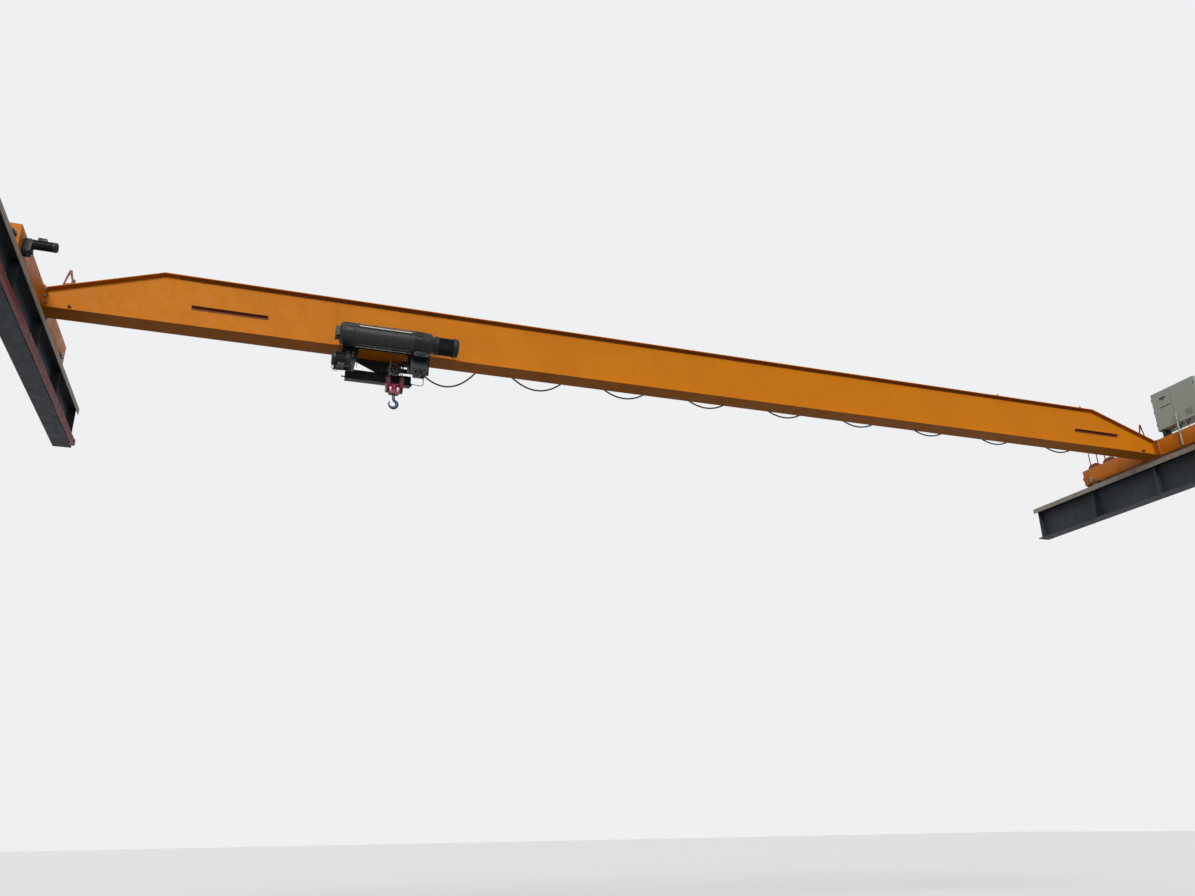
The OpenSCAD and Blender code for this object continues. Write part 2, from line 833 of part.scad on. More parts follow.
// Hook block
block_z = under_z - block_drop;
cheek_t = 10;
cheek_half = 45;
pin_end = 12;
cheek_gap = 34;
block_half = (sheave_gap + cheek_gap) / 2 + cheek_t;
guard_r = sheave_r + rope_d + 10;
head_h = 60;
head_drop = 30;
head_z = block_z - guard_r - head_drop;
head_half = (sheave_gap - cheek_gap) / 2 - cheek_t;

module block_frame() {
    color(block_red) {
        for (s = [-1, 1])
            for (side = [-1, 1])
                translate([hook_x + s * sheave_gap / 2 + side * (cheek_gap + cheek_t) / 2 - cheek_t / 2, 0, 0])
                    bar_x(0, cheek_t, 0, block_z, guard_r);
        bar_x(hook_x - block_half - pin_end, hook_x + block_half + pin_end, 0, block_z, sheave_pin_r);
        difference() {
            block([hook_x - head_half - cheek_t, -cheek_half, head_z],
                  [hook_x + head_half + cheek_t, cheek_half, head_z + head_h]);
            bar_z(head_z - 1, head_z + head_h + 1, hook_x, 0, shank_r + running_gap);
        }
    }
}

module block_sheave(x) {
    translate([x, 0, block_z]) rotate([0, 90, 0]) grooved_sheave(sheave_r, 28, sheave_pin_r + running_gap);
}

module block_sheave_a() { color(bare_steel) block_sheave(hook_x - sheave_gap / 2); }
module block_sheave_b() { color(bare_steel) block_sheave(hook_x + sheave_gap / 2); }

// Hook: the bowl and the neck are equal arcs, joined by a short straight, so the
// shank stands over the bowl
shank_r = 20;
neck_angle = 60;
neck_len = 6;
tip_angle = -195;
tip_len = 34;
collar_h = 12;
nut_h = 28;
hook_arc_r = hook_bowl_r + hook_body_d / 2;
neck_rise = 2 * hook_arc_r * sin(neck_angle) + neck_len * cos(neck_angle);
bowl_x = hook_x + neck_len * sin(neck_angle);
bowl_z = head_z - collar_h - hook_drop - neck_rise;

module arc(from, sweep) {
    rotate([90, 0, 0]) rotate([0, 0, from])
        rotate_extrude(angle = sweep, $fn = 96) translate([hook_arc_r, 0]) circle(d = hook_body_d, $fn = 32);
}

module hook() {
    neck_x = bowl_x - neck_len * sin(neck_angle);
    color(bare_steel) {
        translate([bowl_x, 0, bowl_z]) {
            arc(tip_angle, neck_angle - tip_angle);
            rotate([90, 0, 0]) rotate([0, 0, tip_angle]) translate([hook_arc_r, 0, 0]) rotate([90, 0, 0])
                cylinder(d1 = hook_body_d, d2 = hook_body_d * 0.45, h = tip_len);
            rotate([90, 0, 0]) rotate([0, 0, neck_angle]) translate([hook_arc_r, -1, 0]) rotate([-90, 0, 0])
                cylinder(d = hook_body_d + 1, h = neck_len + 2);
        }
        translate([neck_x + hook_arc_r, 0, bowl_z + neck_rise]) arc(180, neck_angle);
        bar_z(bowl_z + neck_rise, head_z - running_gap, hook_x, 0, hook_body_d / 2);
        bar_z(bowl_z + neck_rise, head_z + head_h + nut_h + 4, hook_x, 0, shank_r);
        translate([hook_x, 0, head_z + head_h + running_gap]) cylinder(r = shank_r + 14, h = nut_h, $fn = 6);
    }
}

// The rope runs off the drum to the first sheave along their crossed tangent
drum_rope_r = drum_r + rope_d / 2 + running_gap;
run_y = drum_y;
run_z = block_z - drum_z;
run_angle = atan2(run_z, run_y) + acos((drum_rope_r + rope_line) / norm([run_y, run_z]));

// Points round an arc in a plane of constant X, and round one in a plane of constant Y.
// The ends are on the arc, and the points between stand out so that each chord touches it.
function arc_at(j, n, from, to) = j == 0 ? from : j == n ? to : from + (to - from) * (j - 0.5) / (n - 1);
function arc_r(j, n, r, from, to) = j == 0 || j == n ? r : r / cos((to - from) / (n - 1) / 2);
function arc_x(x, y, z, r, from, to, n) =
    [for (j = [0 : n]) let (a = arc_at(j, n, from, to), q = arc_r(j, n, r, from, to))
        [x, y + q * cos(a), z + q * sin(a)]];
function arc_y(x, y, z, r, from, to, n) =
    [for (j = [0 : n]) let (a = arc_at(j, n, from, to), q = arc_r(j, n, r, from, to))
        [x + q * cos(a), y, z + q * sin(a)]];

// One rope: drum, first sheave, return sheave, second sheave, fixed end
wrap_steps = 9;
rope_end_z = yoke_top - anchor_h - running_gap;
rope_path = concat(
    [[hook_x - sheave_gap / 2, -drum_y + drum_rope_r * cos(run_angle), drum_z + drum_rope_r * sin(run_angle)]],
    arc_x(hook_x - sheave_gap / 2, 0, block_z, rope_line, 180 + run_angle, 360, wrap_steps),
    arc_y(hook_x, rope_line, return_z, sheave_gap / 2, 180, 0, wrap_steps),
    arc_x(hook_x + sheave_gap / 2, 0, block_z, rope_line, 360, 180, wrap_steps),
    [[hook_x + sheave_gap / 2, -rope_line, rope_end_z]]);

module hoist_ropes() { color(bare_steel) tube(rope_path, rope_d / 2); }

left_runway_beam();
right_runway_beam();
runway_caps();
runway_rails();
conductor_bar();
girder_top_flange();
girder_bottom_flange();
girder_webs();
web_strips();
left_end_carriage();
right_end_carriage();
carriage_buffers();
anchor_brackets();
control_cabinet();
travel_drives();
festoon_track();
trolley_stops();
left_front_wheel();
left_rear_wheel();
right_front_wheel();
right_rear_wheel();
trolley_front_plate();
trolley_rear_plate();
trolley_yokes();
reeving_beam();
drum_frame();
drum_cover();
drum_end_housing();
hoist_gearbox();
hoist_motor();
trolley_drive();
trolley_panel();
tow_arm();
trolley_wheel_a();
trolley_wheel_b();
trolley_wheel_c();
trolley_wheel_d();
rope_drum();
return_sheave();
block_frame();
block_sheave_a();
block_sheave_b();
hook();
hoist_ropes();
festoon_cable();
for (k = [1 : loops - 1])
    cable_carrier(k);
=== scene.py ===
import json
import math

import bmesh
import bpy
from bpy.props import FloatProperty, FloatVectorProperty, IntProperty, PointerProperty
from mathutils import Matrix, Vector


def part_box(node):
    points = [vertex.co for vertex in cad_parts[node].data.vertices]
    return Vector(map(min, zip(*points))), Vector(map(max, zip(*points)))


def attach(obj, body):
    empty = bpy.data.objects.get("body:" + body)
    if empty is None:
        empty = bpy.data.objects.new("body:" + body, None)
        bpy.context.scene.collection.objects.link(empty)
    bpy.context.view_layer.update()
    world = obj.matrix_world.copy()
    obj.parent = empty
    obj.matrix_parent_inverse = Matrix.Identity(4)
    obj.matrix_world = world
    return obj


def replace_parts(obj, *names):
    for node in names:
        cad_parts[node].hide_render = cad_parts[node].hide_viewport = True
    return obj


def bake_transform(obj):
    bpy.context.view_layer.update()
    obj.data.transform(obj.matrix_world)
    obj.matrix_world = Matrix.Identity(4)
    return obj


bl_info = {
    "name": "Overhead bridge crane",
    "version": (1, 0, 0),
    "blender": (4, 5, 0),
    "location": "3D View > Sidebar > Crane",
    "description": "Dresses a single girder bridge crane and its hoist around a fixed frame",
    "category": "Object",
}

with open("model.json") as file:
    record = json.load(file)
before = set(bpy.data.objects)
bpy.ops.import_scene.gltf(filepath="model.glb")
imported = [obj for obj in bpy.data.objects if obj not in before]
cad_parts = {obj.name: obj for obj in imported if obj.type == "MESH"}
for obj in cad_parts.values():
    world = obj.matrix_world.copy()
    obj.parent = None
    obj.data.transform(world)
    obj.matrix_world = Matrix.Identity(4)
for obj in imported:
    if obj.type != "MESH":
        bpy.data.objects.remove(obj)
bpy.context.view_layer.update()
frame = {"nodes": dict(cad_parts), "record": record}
FINISH = {}

# Places that the solids don't give by their boxes, in metres
# Bridge: rail centres, travel wheels' axles, carriages, and the girder's knees and webs
SPAN = 20.2
AXLE_Y, AXLE_Z = 1.53, 0.8503
CARRIAGE_END = 1.75
CARRIAGE_TOP = 1.1
BUFFER_Z = 0.95
KNEE_X = (1.58, 18.62)
WEB_Y = 0.112
# Hoist: the drum's axis, the radii just inside its cover's face and of its hoops' face, and the plates' faces
DRUM_Y, DRUM_Z = -0.44, 0.875
COVER_R = 0.171
COVER_FACE_R = 0.1765
PLATE_FACE = 0.227
# Rope: its radius, the distance of its line from a sheave's axis and from the drum's, and its pitch there
ROPE_R = 0.006
ROPE_LINE = 0.1113
ROPE_WOUND_R = 0.148
ROPE_PITCH = 0.02
# Reeving: the two block sheaves' distance, the hook's place, the sheaves' heights and that of the rope's end
SHEAVE_GAP = 0.2
HOOK_X = 4.97
BLOCK_Z = 0.34
RETURN_Z = 0.66
ROPE_END_Z = 0.6497


# Sizes and colours that a user would change

class CraneColours(bpy.types.PropertyGroup):
    """Paint colours of the crane's main groups"""
    girder: FloatVectorProperty(
        name="Girder paint", description="Colour of the girder",
        subtype="COLOR", size=3, min=0, max=1, default=(0.58, 0.182, 0.003))
    carriage: FloatVectorProperty(
        name="Carriage paint", description="Colour of the two end carriages",
        subtype="COLOR", size=3, min=0, max=1, default=(0.56, 0.160, 0.005))
    hoist: FloatVectorProperty(
        name="Hoist paint", description="Colour of the hoist's housings and plates",
        subtype="COLOR", size=3, min=0, max=1, default=(0.013, 0.016, 0.015))
    block: FloatVectorProperty(
        name="Hook block paint", description="Colour of the hook block",
        subtype="COLOR", size=3, min=0, max=1, default=(0.24, 0.010, 0.032))
    cabinet: FloatVectorProperty(
        name="Cabinet coating", description="Colour of the control cabinet",
        subtype="COLOR", size=3, min=0, max=1, default=(0.33, 0.37, 0.31))


class CraneSizes(bpy.types.PropertyGroup):
    """Sizes of the small parts that dress the solids"""
    bolt: FloatProperty(
        name="Joint bolt", description="Width across the head of a bolt in the girder's end joints",
        subtype="DISTANCE", unit="LENGTH", default=0.036, min=0.01, max=0.06)
    screw: FloatProperty(
        name="Cover screw", description="Width across the head of a screw in a cover or gear case",
        subtype="DISTANCE", unit="LENGTH", default=0.016, min=0.006, max=0.03)
    clip_pitch: FloatProperty(
        name="Rail clip pitch", description="Distance between two rail clips",
        subtype="DISTANCE", unit="LENGTH", default=0.55, min=0.3, max=1.2)
    rope_turns: IntProperty(
        name="Rope turns", description="Turns of rope wound on the drum", default=25, min=3, max=30)
    motor_fins: IntProperty(
        name="Motor fins", description="Cooling fins round the hoist motor", default=34, min=12, max=48)


# Mesh building

def across(axis):
    """Two unit vectors square to an axis, with the axis itself first."""
    a = Vector(axis).normalized()
    u = a.cross(Vector((0, 0, 1)) if abs(a.z) < 0.9 else Vector((1, 0, 0))).normalized()
    return a, u, a.cross(u)


def add_box(bm, low, high):
    """A box between two corners."""
    at = [[low[k], high[k]] for k in range(3)]
    v = [bm.verts.new((x, y, z)) for x in at[0] for y in at[1] for z in at[2]]
    for f in ((0, 1, 3, 2), (4, 6, 7, 5), (0, 4, 5, 1), (2, 3, 7, 6), (0, 2, 6, 4), (1, 5, 7, 3)):
        bm.faces.new([v[k] for k in f])


def add_prism(bm, outline, normal_axis, start, end):
    """A plate cut from an outline, square to one axis, between two places on it."""
    def point(p, d):
        values = list(p)
        values.insert(normal_axis, d)
        return values
    low = [bm.verts.new(point(p, start)) for p in outline]
    high = [bm.verts.new(point(p, end)) for p in outline]
    bm.faces.new(low)
    bm.faces.new(high)
    for k in range(len(outline)):
        m = (k + 1) % len(outline)
        bm.faces.new([low[k], low[m], high[m], high[k]])


def add_turned(bm, start, axis, profile, segments=48):
    """A turned shape: profile holds (distance along the axis, radius) pairs from end to end."""
    a, u, v = across(axis)
    origin = Vector(start)
    rings = []
    for along, radius in profile:
        centre = origin + a * along
        if radius < 1e-6:
            rings.append([bm.verts.new(centre)])
            continue
        rings.append([bm.verts.new(centre + radius * (math.cos(t) * u + math.sin(t) * v))
                      for t in (2 * math.pi * k / segments for k in range(segments))])
    for one, two in zip(rings, rings[1:]):
        for k in range(segments):
            m = (k + 1) % segments
            corners = [one[k % len(one)], one[m % len(one)], two[m % len(two)], two[k % len(two)]]
            bm.faces.new(list(dict.fromkeys(corners)))
    for ring in (rings[0], rings[-1]):
        if len(ring) > 1:
            bm.faces.new(ring)


def add_tube(bm, path, radii, sides=12, squeeze=None):
    """A tube along a path, with one radius or one for each point, and UVs round and along it.
    squeeze scales it square to the path's plane, whose normal it names."""
    points = [Vector(p) for p in path]
    radii = radii if isinstance(radii, (list, tuple)) else [radii] * len(points)
    uv = bm.loops.layers.uv.verify()
    rings, along, u = [], [0.0], None
    for k, point in enumerate(points):
        d = (points[min(k + 1, len(points) - 1)] - points[max(k - 1, 0)]).normalized()
        if u is None:
            u = across(d)[1]
        u = (u - d * u.dot(d)).normalized()
        v = d.cross(u)
        ring = []
        for j in range(sides):
            t = 2 * math.pi * j / sides
            offset = radii[k] * (math.cos(t) * u + math.sin(t) * v)
            if squeeze:
                n = Vector(squeeze[0])
                offset += n * offset.dot(n) * (squeeze[1] - 1)
            ring.append(bm.verts.new(point + offset))
        rings.append(ring)
        if k:
            along.append(along[-1] + (point - points[k - 1]).length)
    for k in range(len(rings) - 1):
        for j in range(sides):
            m = (j + 1) % sides
            face = bm.faces.new([rings[k][j], rings[k][m], rings[k + 1][m], rings[k + 1][j]])
            places = ((j, k), (j + 1, k), (j + 1, k + 1), (j, k + 1))
            for loop, (a, b) in zip(face.loops, places):
                loop[uv].uv = (a / sides, along[b])
    bm.faces.new(rings[0][::-1])
    bm.faces.new(rings[-1])


def soften(bm, width, segments=2, angle=32):
    """Rounds every edge sharper than the angle."""
    edges = [e for e in bm.edges if len(e.link_faces) == 2 and e.calc_face_angle(0) > math.radians(angle)]
    bmesh.ops.bevel(bm, geom=edges, offset=width, segments=segments, profile=0.6,
                    affect="EDGES", clamp_overlap=True)


def placed(name, mesh, body, smooth):
    """Makes an object of a mesh, shaded smooth below an angle and the body it rides on."""
    obj = bpy.data.objects.new(name, mesh)
    bpy.context.scene.collection.objects.link(obj)
    for face in mesh.polygons:
        face.use_smooth = True
    mesh.set_sharp_from_angle(angle=math.radians(smooth))
    if body:
        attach(obj, body)
    return obj


def piece(name, bm, body, material, smooth=38):
    """Makes an object of the mesh, riding on a body, with its material."""
    bmesh.ops.recalc_face_normals(bm, faces=bm.faces)
    mesh = bpy.data.meshes.new(name)
    bm.to_mesh(mesh)
    bm.free()
    mesh.materials.append(FINISH[material])
    return placed(name, mesh, body, smooth)


def softened_node(node, name, body, material, width=0.004):
    """A copy of a solid with its edges rounded, which stands for it."""
    bm = bmesh.new()
    bm.from_mesh(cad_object(node).data)
    bmesh.ops.remove_doubles(bm, verts=bm.verts, dist=1e-5)
    bmesh.ops.dissolve_limit(bm, angle_limit=math.radians(1), verts=bm.verts, edges=bm.edges)
    soften(bm, width)
    obj = piece(name, bm, body, material)
    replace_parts(obj, node)
    return obj


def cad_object(node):
    """The Blender object of a CAD node."""
    return frame["nodes"][node]


def paint_nodes(material, *nodes):
    """Gives CAD nodes a finish."""
    for node in nodes:
        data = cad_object(node).data
        data.materials.clear()
        data.materials.append(FINISH[material])


# Node trees

SOCKET_TYPES = {"number": "NodeSocketFloat", "length": "NodeSocketFloat", "vector": "NodeSocketVector",
                "colour": "NodeSocketColor", "finish": "NodeSocketMaterial", "mesh": "NodeSocketGeometry"}


def new_tree(tree_type, name, inputs, outputs):
    """A node tree with (label, kind, default) inputs and (label, kind) outputs, and the sockets of both."""
    tree = bpy.data.node_groups.new(name, tree_type)
    for label, kind, default in inputs:
        socket = tree.interface.new_socket(label, in_out="INPUT", socket_type=SOCKET_TYPES[kind])
        if default is not None:
            socket.default_value = default
        if kind == "length":
            socket.subtype = "DISTANCE"
    for label, kind in outputs:
        tree.interface.new_socket(label, in_out="OUTPUT", socket_type=SOCKET_TYPES[kind])
    return tree, tree.nodes.new("NodeGroupInput").outputs, tree.nodes.new("NodeGroupOutput").inputs


def node(tree, kind, links=None, **settings):
    """A node, with its properties set and its inputs set or linked by name or number."""
    made = tree.nodes.new(kind)
    for key, value in settings.items():
        setattr(made, key, value)
    for key, value in (links or {}).items():
        socket = made.inputs[key]
        if isinstance(value, bpy.types.NodeSocket):
            tree.links.new(value, socket)
        else:
            socket.default_value = value
    return made


def times(tree, one, two):
    """The product of two numbers or sockets."""
    return node(tree, "ShaderNodeMath", {0: one, 1: two}, operation="MULTIPLY").outputs[0]


def plus(tree, one, two):
    """The sum of two numbers or sockets."""
    return node(tree, "ShaderNodeMath", {0: one, 1: two}, operation="ADD").outputs[0]


# Repeats with Geometry Nodes

def mesh_tree(name, inputs):
    """A tree that works on places, with more inputs and a finish, and gives a mesh."""
    every = [("Places", "mesh", None), *inputs, ("Finish", "finish", None)]
    return new_tree("GeometryNodeTree", name, every, [("Geometry", "mesh")])


def end_tree(tree, given, out, shape):
    """Ends a tree: its instances are made real, and its finish is set."""
    real = node(tree, "GeometryNodeRealizeInstances", {0: shape})
    coat = node(tree, "GeometryNodeSetMaterial", {"Geometry": real.outputs[0], "Material": given["Finish"]})
    tree.links.new(coat.outputs[0], out[0])
    return tree


def swept(tree, line, sides, radius):
    """A round bar with closed ends along a curve."""
    ring = node(tree, "GeometryNodeCurvePrimitiveCircle", {"Resolution": sides, "Radius": radius})
    return node(tree, "GeometryNodeCurveToMesh",
                {"Curve": line, "Profile Curve": ring.outputs[0], "Fill Caps": True}).outputs[0]


def repeat_tree(kind):
    """A tree that puts one bolt or block on each point of a mesh, turned by its attribute 'turn'."""
    tree, given, out = mesh_tree("Repeated " + kind, [
        ("Length", "length", 0.02), ("Width", "length", 0.02), ("Height", "length", 0.01)])

    def cylinder(sides, radius, depth, lift):
        solid = node(tree, "GeometryNodeMeshCylinder", {"Vertices": sides, "Radius": radius, "Depth": depth})
        up = node(tree, "ShaderNodeCombineXYZ", {"Z": lift})
        return node(tree, "GeometryNodeTransform",
                    {"Geometry": solid.outputs["Mesh"], "Translation": up.outputs[0]}).outputs["Geometry"]

    if kind == "bolt":
        width, height = given["Width"], given["Height"]
        head = cylinder(6, times(tree, width, 0.577), height, times(tree, height, 0.7))
        washer = cylinder(20, times(tree, width, 0.86), times(tree, height, 0.24), times(tree, height, 0.10))
        both = node(tree, "GeometryNodeJoinGeometry", {0: head})
        tree.links.new(washer, both.inputs[0])
        item = both.outputs[0]
    else:
        size = node(tree, "ShaderNodeCombineXYZ",
                    {"X": given["Length"], "Y": given["Width"], "Z": given["Height"]})
        item = node(tree, "GeometryNodeMeshCube", {"Size": size.outputs[0]}).outputs["Mesh"]
    turn = node(tree, "GeometryNodeInputNamedAttribute", {"Name": "turn"}, data_type="FLOAT_VECTOR")
    euler = node(tree, "FunctionNodeEulerToRotation", {0: turn.outputs["Attribute"]})
    copies = node(tree, "GeometryNodeInstanceOnPoints",
                  {"Points": given["Places"], "Instance": item, "Rotation": euler.outputs[0]})
    return end_tree(tree, given, out, copies.outputs[0])


def run_tree(name, tree, mesh, values, body, smooth=38):
    """Runs a tree on a mesh, and keeps the result as a plain mesh that rides on a body."""
    carrier = bpy.data.objects.new(name + "_places", mesh)
    bpy.context.scene.collection.objects.link(carrier)
    modifier = carrier.modifiers.new("Nodes", "NODES")
    modifier.node_group = tree
    for socket in tree.interface.items_tree:
        if socket.in_out == "INPUT" and socket.name in values:
            modifier[socket.identifier] = values[socket.name]
    bpy.context.view_layer.update()
    evaluated = carrier.evaluated_get(bpy.context.evaluated_depsgraph_get())
    result = bpy.data.meshes.new_from_object(evaluated)
    carrier.modifiers.remove(modifier)
    bpy.data.objects.remove(carrier)
    if "turn" in result.attributes:
        result.attributes.remove(result.attributes["turn"])
    result.name = name
    return placed(name, result, body, smooth)


def repeat(name, kind, places, size, body, material):
    """Repeats one item at (point, direction of its own Z, direction of its own X) places."""
    mesh = bpy.data.meshes.new(name + "_places")
    mesh.from_pydata([p[0] for p in places], [], [])
    turns = mesh.attributes.new("turn", "FLOAT_VECTOR", "POINT")
    for k, place in enumerate(places):
        up, side, _ = across(place[1])
        if len(place) > 2:
            side = Vector(place[2])
            side = (side - up * side.dot(up)).normalized()
        rotation = Matrix((side, up.cross(side), up)).transposed()
        turns.data[k].vector = rotation.to_euler("XYZ")
    tree = bpy.data.node_groups.get("Repeated " + kind) or repeat_tree(kind)
    values = {"Length": size[0], "Width": size[1], "Height": size[2], "Finish": FINISH[material]}
    return run_tree(name, tree, mesh, values, body)


def ring_places(centre, axis, radius, count, first=0.0):
    """Places evenly round a circle, pointing along the axis."""
    a, u, v = across(axis)
    turns = (first + 2 * math.pi * k / count for k in range(count))
    spokes = [math.cos(t) * u + math.sin(t) * v for t in turns]
    return [(Vector(centre) + radius * spoke, a, spoke) for spoke in spokes]


def rib_places(centre, axis, radius, count, first=0.0):
    """Places evenly round a circle, each pointing outward, for ribs that run along the axis."""
    places = ring_places(centre, axis, radius, count, first)
    return [(p, (p - centre).normalized(), axis) for p, _, _ in places]


def coil_tree():
    """A tree that winds a rope round the X axis."""
    tree, given, out = mesh_tree("Wound rope", [
        ("Radius", "length", 0.15), ("Length", "length", 0.5), ("Turns", "number", 25.0),
        ("Rope radius", "length", 0.006), ("Start", "vector", None)])
    coil = node(tree, "GeometryNodeCurveSpiral", {
        "Resolution": 40, "Rotations": given["Turns"], "Start Radius": given["Radius"],
        "End Radius": given["Radius"], "Height": given["Length"]})
    solid = swept(tree, coil.outputs[0], 8, given["Rope radius"])
    turn = node(tree, "GeometryNodeTransform", {"Geometry": solid, "Rotation": (0, math.radians(90), 0)})
    move = node(tree, "GeometryNodeTransform", {"Geometry": turn.outputs[0], "Translation": given["Start"]})
    return end_tree(tree, given, out, move.outputs[0])


# Shader effects, each a group that several finishes use

def effect(name, inputs):
    """A shader effect that gives a colour, a roughness and a height for the bump."""
    return new_tree("ShaderNodeTree", name, inputs,
                    [("Colour", "colour"), ("Roughness", "number"), ("Height", "number")])


def noise(tree, vector, scale, detail, rough):
    """Cloudy noise of one scale, about 0.5."""
    made = node(tree, "ShaderNodeTexNoise",
                {"Vector": vector, "Scale": scale, "Detail": detail, "Roughness": rough})
    return made.outputs["Fac"]


def ramp(tree, value, low, high, to_low=0.0, to_high=1.0):
    """The value brought from one range to another, and held within it."""
    made = node(tree, "ShaderNodeMapRange",
                {"Value": value, "From Min": low, "From Max": high, "To Min": to_low, "To Max": to_high})
    made.clamp = True
    return made.outputs[0]


def mixed(tree, factor, one, two):
    """Two colours mixed; a factor of 0 gives the first."""
    made = node(tree, "ShaderNodeMix", {0: factor, 6: one, 7: two}, data_type="RGBA", clamp_factor=True)
    return made.outputs[2]


def stretched(tree, vector, scale):
    """Coordinates scaled apart along their axes."""
    return node(tree, "ShaderNodeMapping", {"Vector": vector, "Scale": scale}).outputs[0]


def weathered_paint():
    """Brushed or sprayed paint with blotches, vertical streaks, dust on top and small chips."""
    tree, given, out = effect(
        "Weathered paint",
        [("Colour", "colour", (0.8, 0.3, 0.01, 1)), ("Shade", "colour", (0.5, 0.18, 0.01, 1)),
         ("Grime", "colour", (0.07, 0.045, 0.03, 1)), ("Dust", "colour", (0.40, 0.33, 0.26, 1)),
         ("Grime amount", "number", 0.25), ("Dust amount", "number", 0.4), ("Chip amount", "number", 0.3),
         ("Roughness", "number", 0.36)])
    place = node(tree, "ShaderNodeTexCoord").outputs["Object"]
    blotch = noise(tree, place, 1.1, 5.0, 0.6)
    cloud = noise(tree, place, 7.0, 5.0, 0.6)
    streak = noise(tree, stretched(tree, place, (9.0, 9.0, 0.55)), 1.6, 5.0, 0.65)
    peel = noise(tree, place, 260.0, 2.0, 0.5)
    wave = noise(tree, stretched(tree, place, (0.9, 2.0, 2.0)), 1.0, 2.0, 0.5)
    speck = noise(tree, place, 95.0, 3.0, 0.7)
    base = mixed(tree, times(tree, ramp(tree, blotch, 0.42, 0.72), 0.55), given["Colour"], given["Shade"])
    dirt = times(tree, times(tree, ramp(tree, streak, 0.48, 0.78), ramp(tree, cloud, 0.30, 0.66)),
                 given["Grime amount"])
    dirty = mixed(tree, dirt, base, given["Grime"])
    normal = node(tree, "ShaderNodeNewGeometry").outputs["Normal"]
    up = node(tree, "ShaderNodeSeparateXYZ", {0: normal}).outputs["Z"]
    settled = times(tree, times(tree, ramp(tree, up, 0.35, 0.95), ramp(tree, cloud, 0.25, 0.62)),
                    given["Dust amount"])
    dusty = mixed(tree, settled, dirty, given["Dust"])
    chip = times(tree, times(tree, ramp(tree, speck, 0.705, 0.735), ramp(tree, blotch, 0.46, 0.62)),
                 given["Chip amount"])
    tree.links.new(mixed(tree, chip, dusty, given["Grime"]), out["Colour"])
    worn = plus(tree, plus(tree, given["Roughness"], ramp(tree, cloud, 0.3, 0.7, -0.05, 0.12)),
                times(tree, plus(tree, settled, dirt), 0.4))
    tree.links.new(worn, out["Roughness"])
    height = plus(tree, times(tree, peel, 0.12), times(tree, wave, 1.0))
    tree.links.new(plus(tree, height, times(tree, chip, -0.25)), out["Height"])
    return tree


def worked_steel():
    """Machined, rolled or forged steel with grease and scale."""
    tree, given, out = effect(
        "Worked steel",
        [("Colour", "colour", (0.35, 0.34, 0.33, 1)), ("Scale colour", "colour", (0.10, 0.085, 0.075, 1)),
         ("Scale amount", "number", 0.5), ("Grain", "vector", (60.0, 60.0, 60.0)),
         ("Roughness", "number", 0.4)])
    place = node(tree, "ShaderNodeTexCoord").outputs["Object"]
    grain = noise(tree, node(tree, "ShaderNodeVectorMath", {0: place, 1: given["Grain"]},
                             operation="MULTIPLY").outputs[0], 1.0, 4.0, 0.6)
    patch = noise(tree, place, 9.0, 6.0, 0.65)
    fine = noise(tree, place, 70.0, 4.0, 0.6)
    scale = times(tree, ramp(tree, plus(tree, times(tree, patch, 0.7), times(tree, fine, 0.3)), 0.42, 0.62),
                  given["Scale amount"])
    tree.links.new(mixed(tree, scale, given["Colour"], given["Scale colour"]), out["Colour"])
    worn = plus(tree, times(tree, scale, 0.25), ramp(tree, grain, 0.3, 0.7, -0.06, 0.08))
    tree.links.new(plus(tree, given["Roughness"], worn), out["Roughness"])
    tree.links.new(plus(tree, times(tree, grain, 0.5), times(tree, fine, 0.5)), out["Height"])
    return tree


def moulded_skin():
    """Rubber, plastic sheath or powder coat with a fine skin and settled dust."""
    tree, given, out = effect(
        "Moulded skin",
        [("Colour", "colour", (0.02, 0.02, 0.02, 1)), ("Dust", "colour", (0.20, 0.18, 0.16, 1)),
         ("Dust amount", "number", 0.4), ("Skin size", "number", 300.0), ("Roughness", "number", 0.5)])
    place = node(tree, "ShaderNodeTexCoord").outputs["Object"]
    skin = noise(tree, place, given["Skin size"], 3.0, 0.5)
    cloud = noise(tree, place, 6.0, 5.0, 0.6)
    normal = node(tree, "ShaderNodeNewGeometry").outputs["Normal"]
    up = ramp(tree, node(tree, "ShaderNodeSeparateXYZ", {0: normal}).outputs["Z"], -0.2, 1.0, 0.15, 1.0)
    dust = times(tree, times(tree, up, ramp(tree, cloud, 0.35, 0.7)), given["Dust amount"])
    tree.links.new(mixed(tree, dust, given["Colour"], given["Dust"]), out["Colour"])
    worn = plus(tree, times(tree, dust, 0.3), ramp(tree, cloud, 0.3, 0.7, -0.04, 0.08))
    tree.links.new(plus(tree, given["Roughness"], worn), out["Roughness"])
    tree.links.new(skin, out["Height"])
    return tree


def new_material(name):
    """A material, with its node tree and its main shader."""
    made = bpy.data.materials.new(name)
    made.use_nodes = True
    return made, made.node_tree, made.node_tree.nodes["Principled BSDF"]


def add_bump(tree, shader, height, strength, distance):
    """Lifts a material's surface by a height."""
    lift = node(tree, "ShaderNodeBump", {"Height": height, "Strength": strength, "Distance": distance})
    tree.links.new(lift.outputs["Normal"], shader.inputs["Normal"])


def finish(name, group, values, bump, **sockets):
    """A material whose colour, roughness and bump come from an effect; bump is (strength, distance)."""
    FINISH[name], tree, shader = new_material(name)
    source = node(tree, "ShaderNodeGroup", values, node_tree=group)
    tree.links.new(source.outputs["Colour"], shader.inputs["Base Color"])
    tree.links.new(source.outputs["Roughness"], shader.inputs["Roughness"])
    add_bump(tree, shader, source.outputs["Height"], *bump)
    for key, value in sockets.items():
        shader.inputs[key.replace("_", " ")].default_value = value


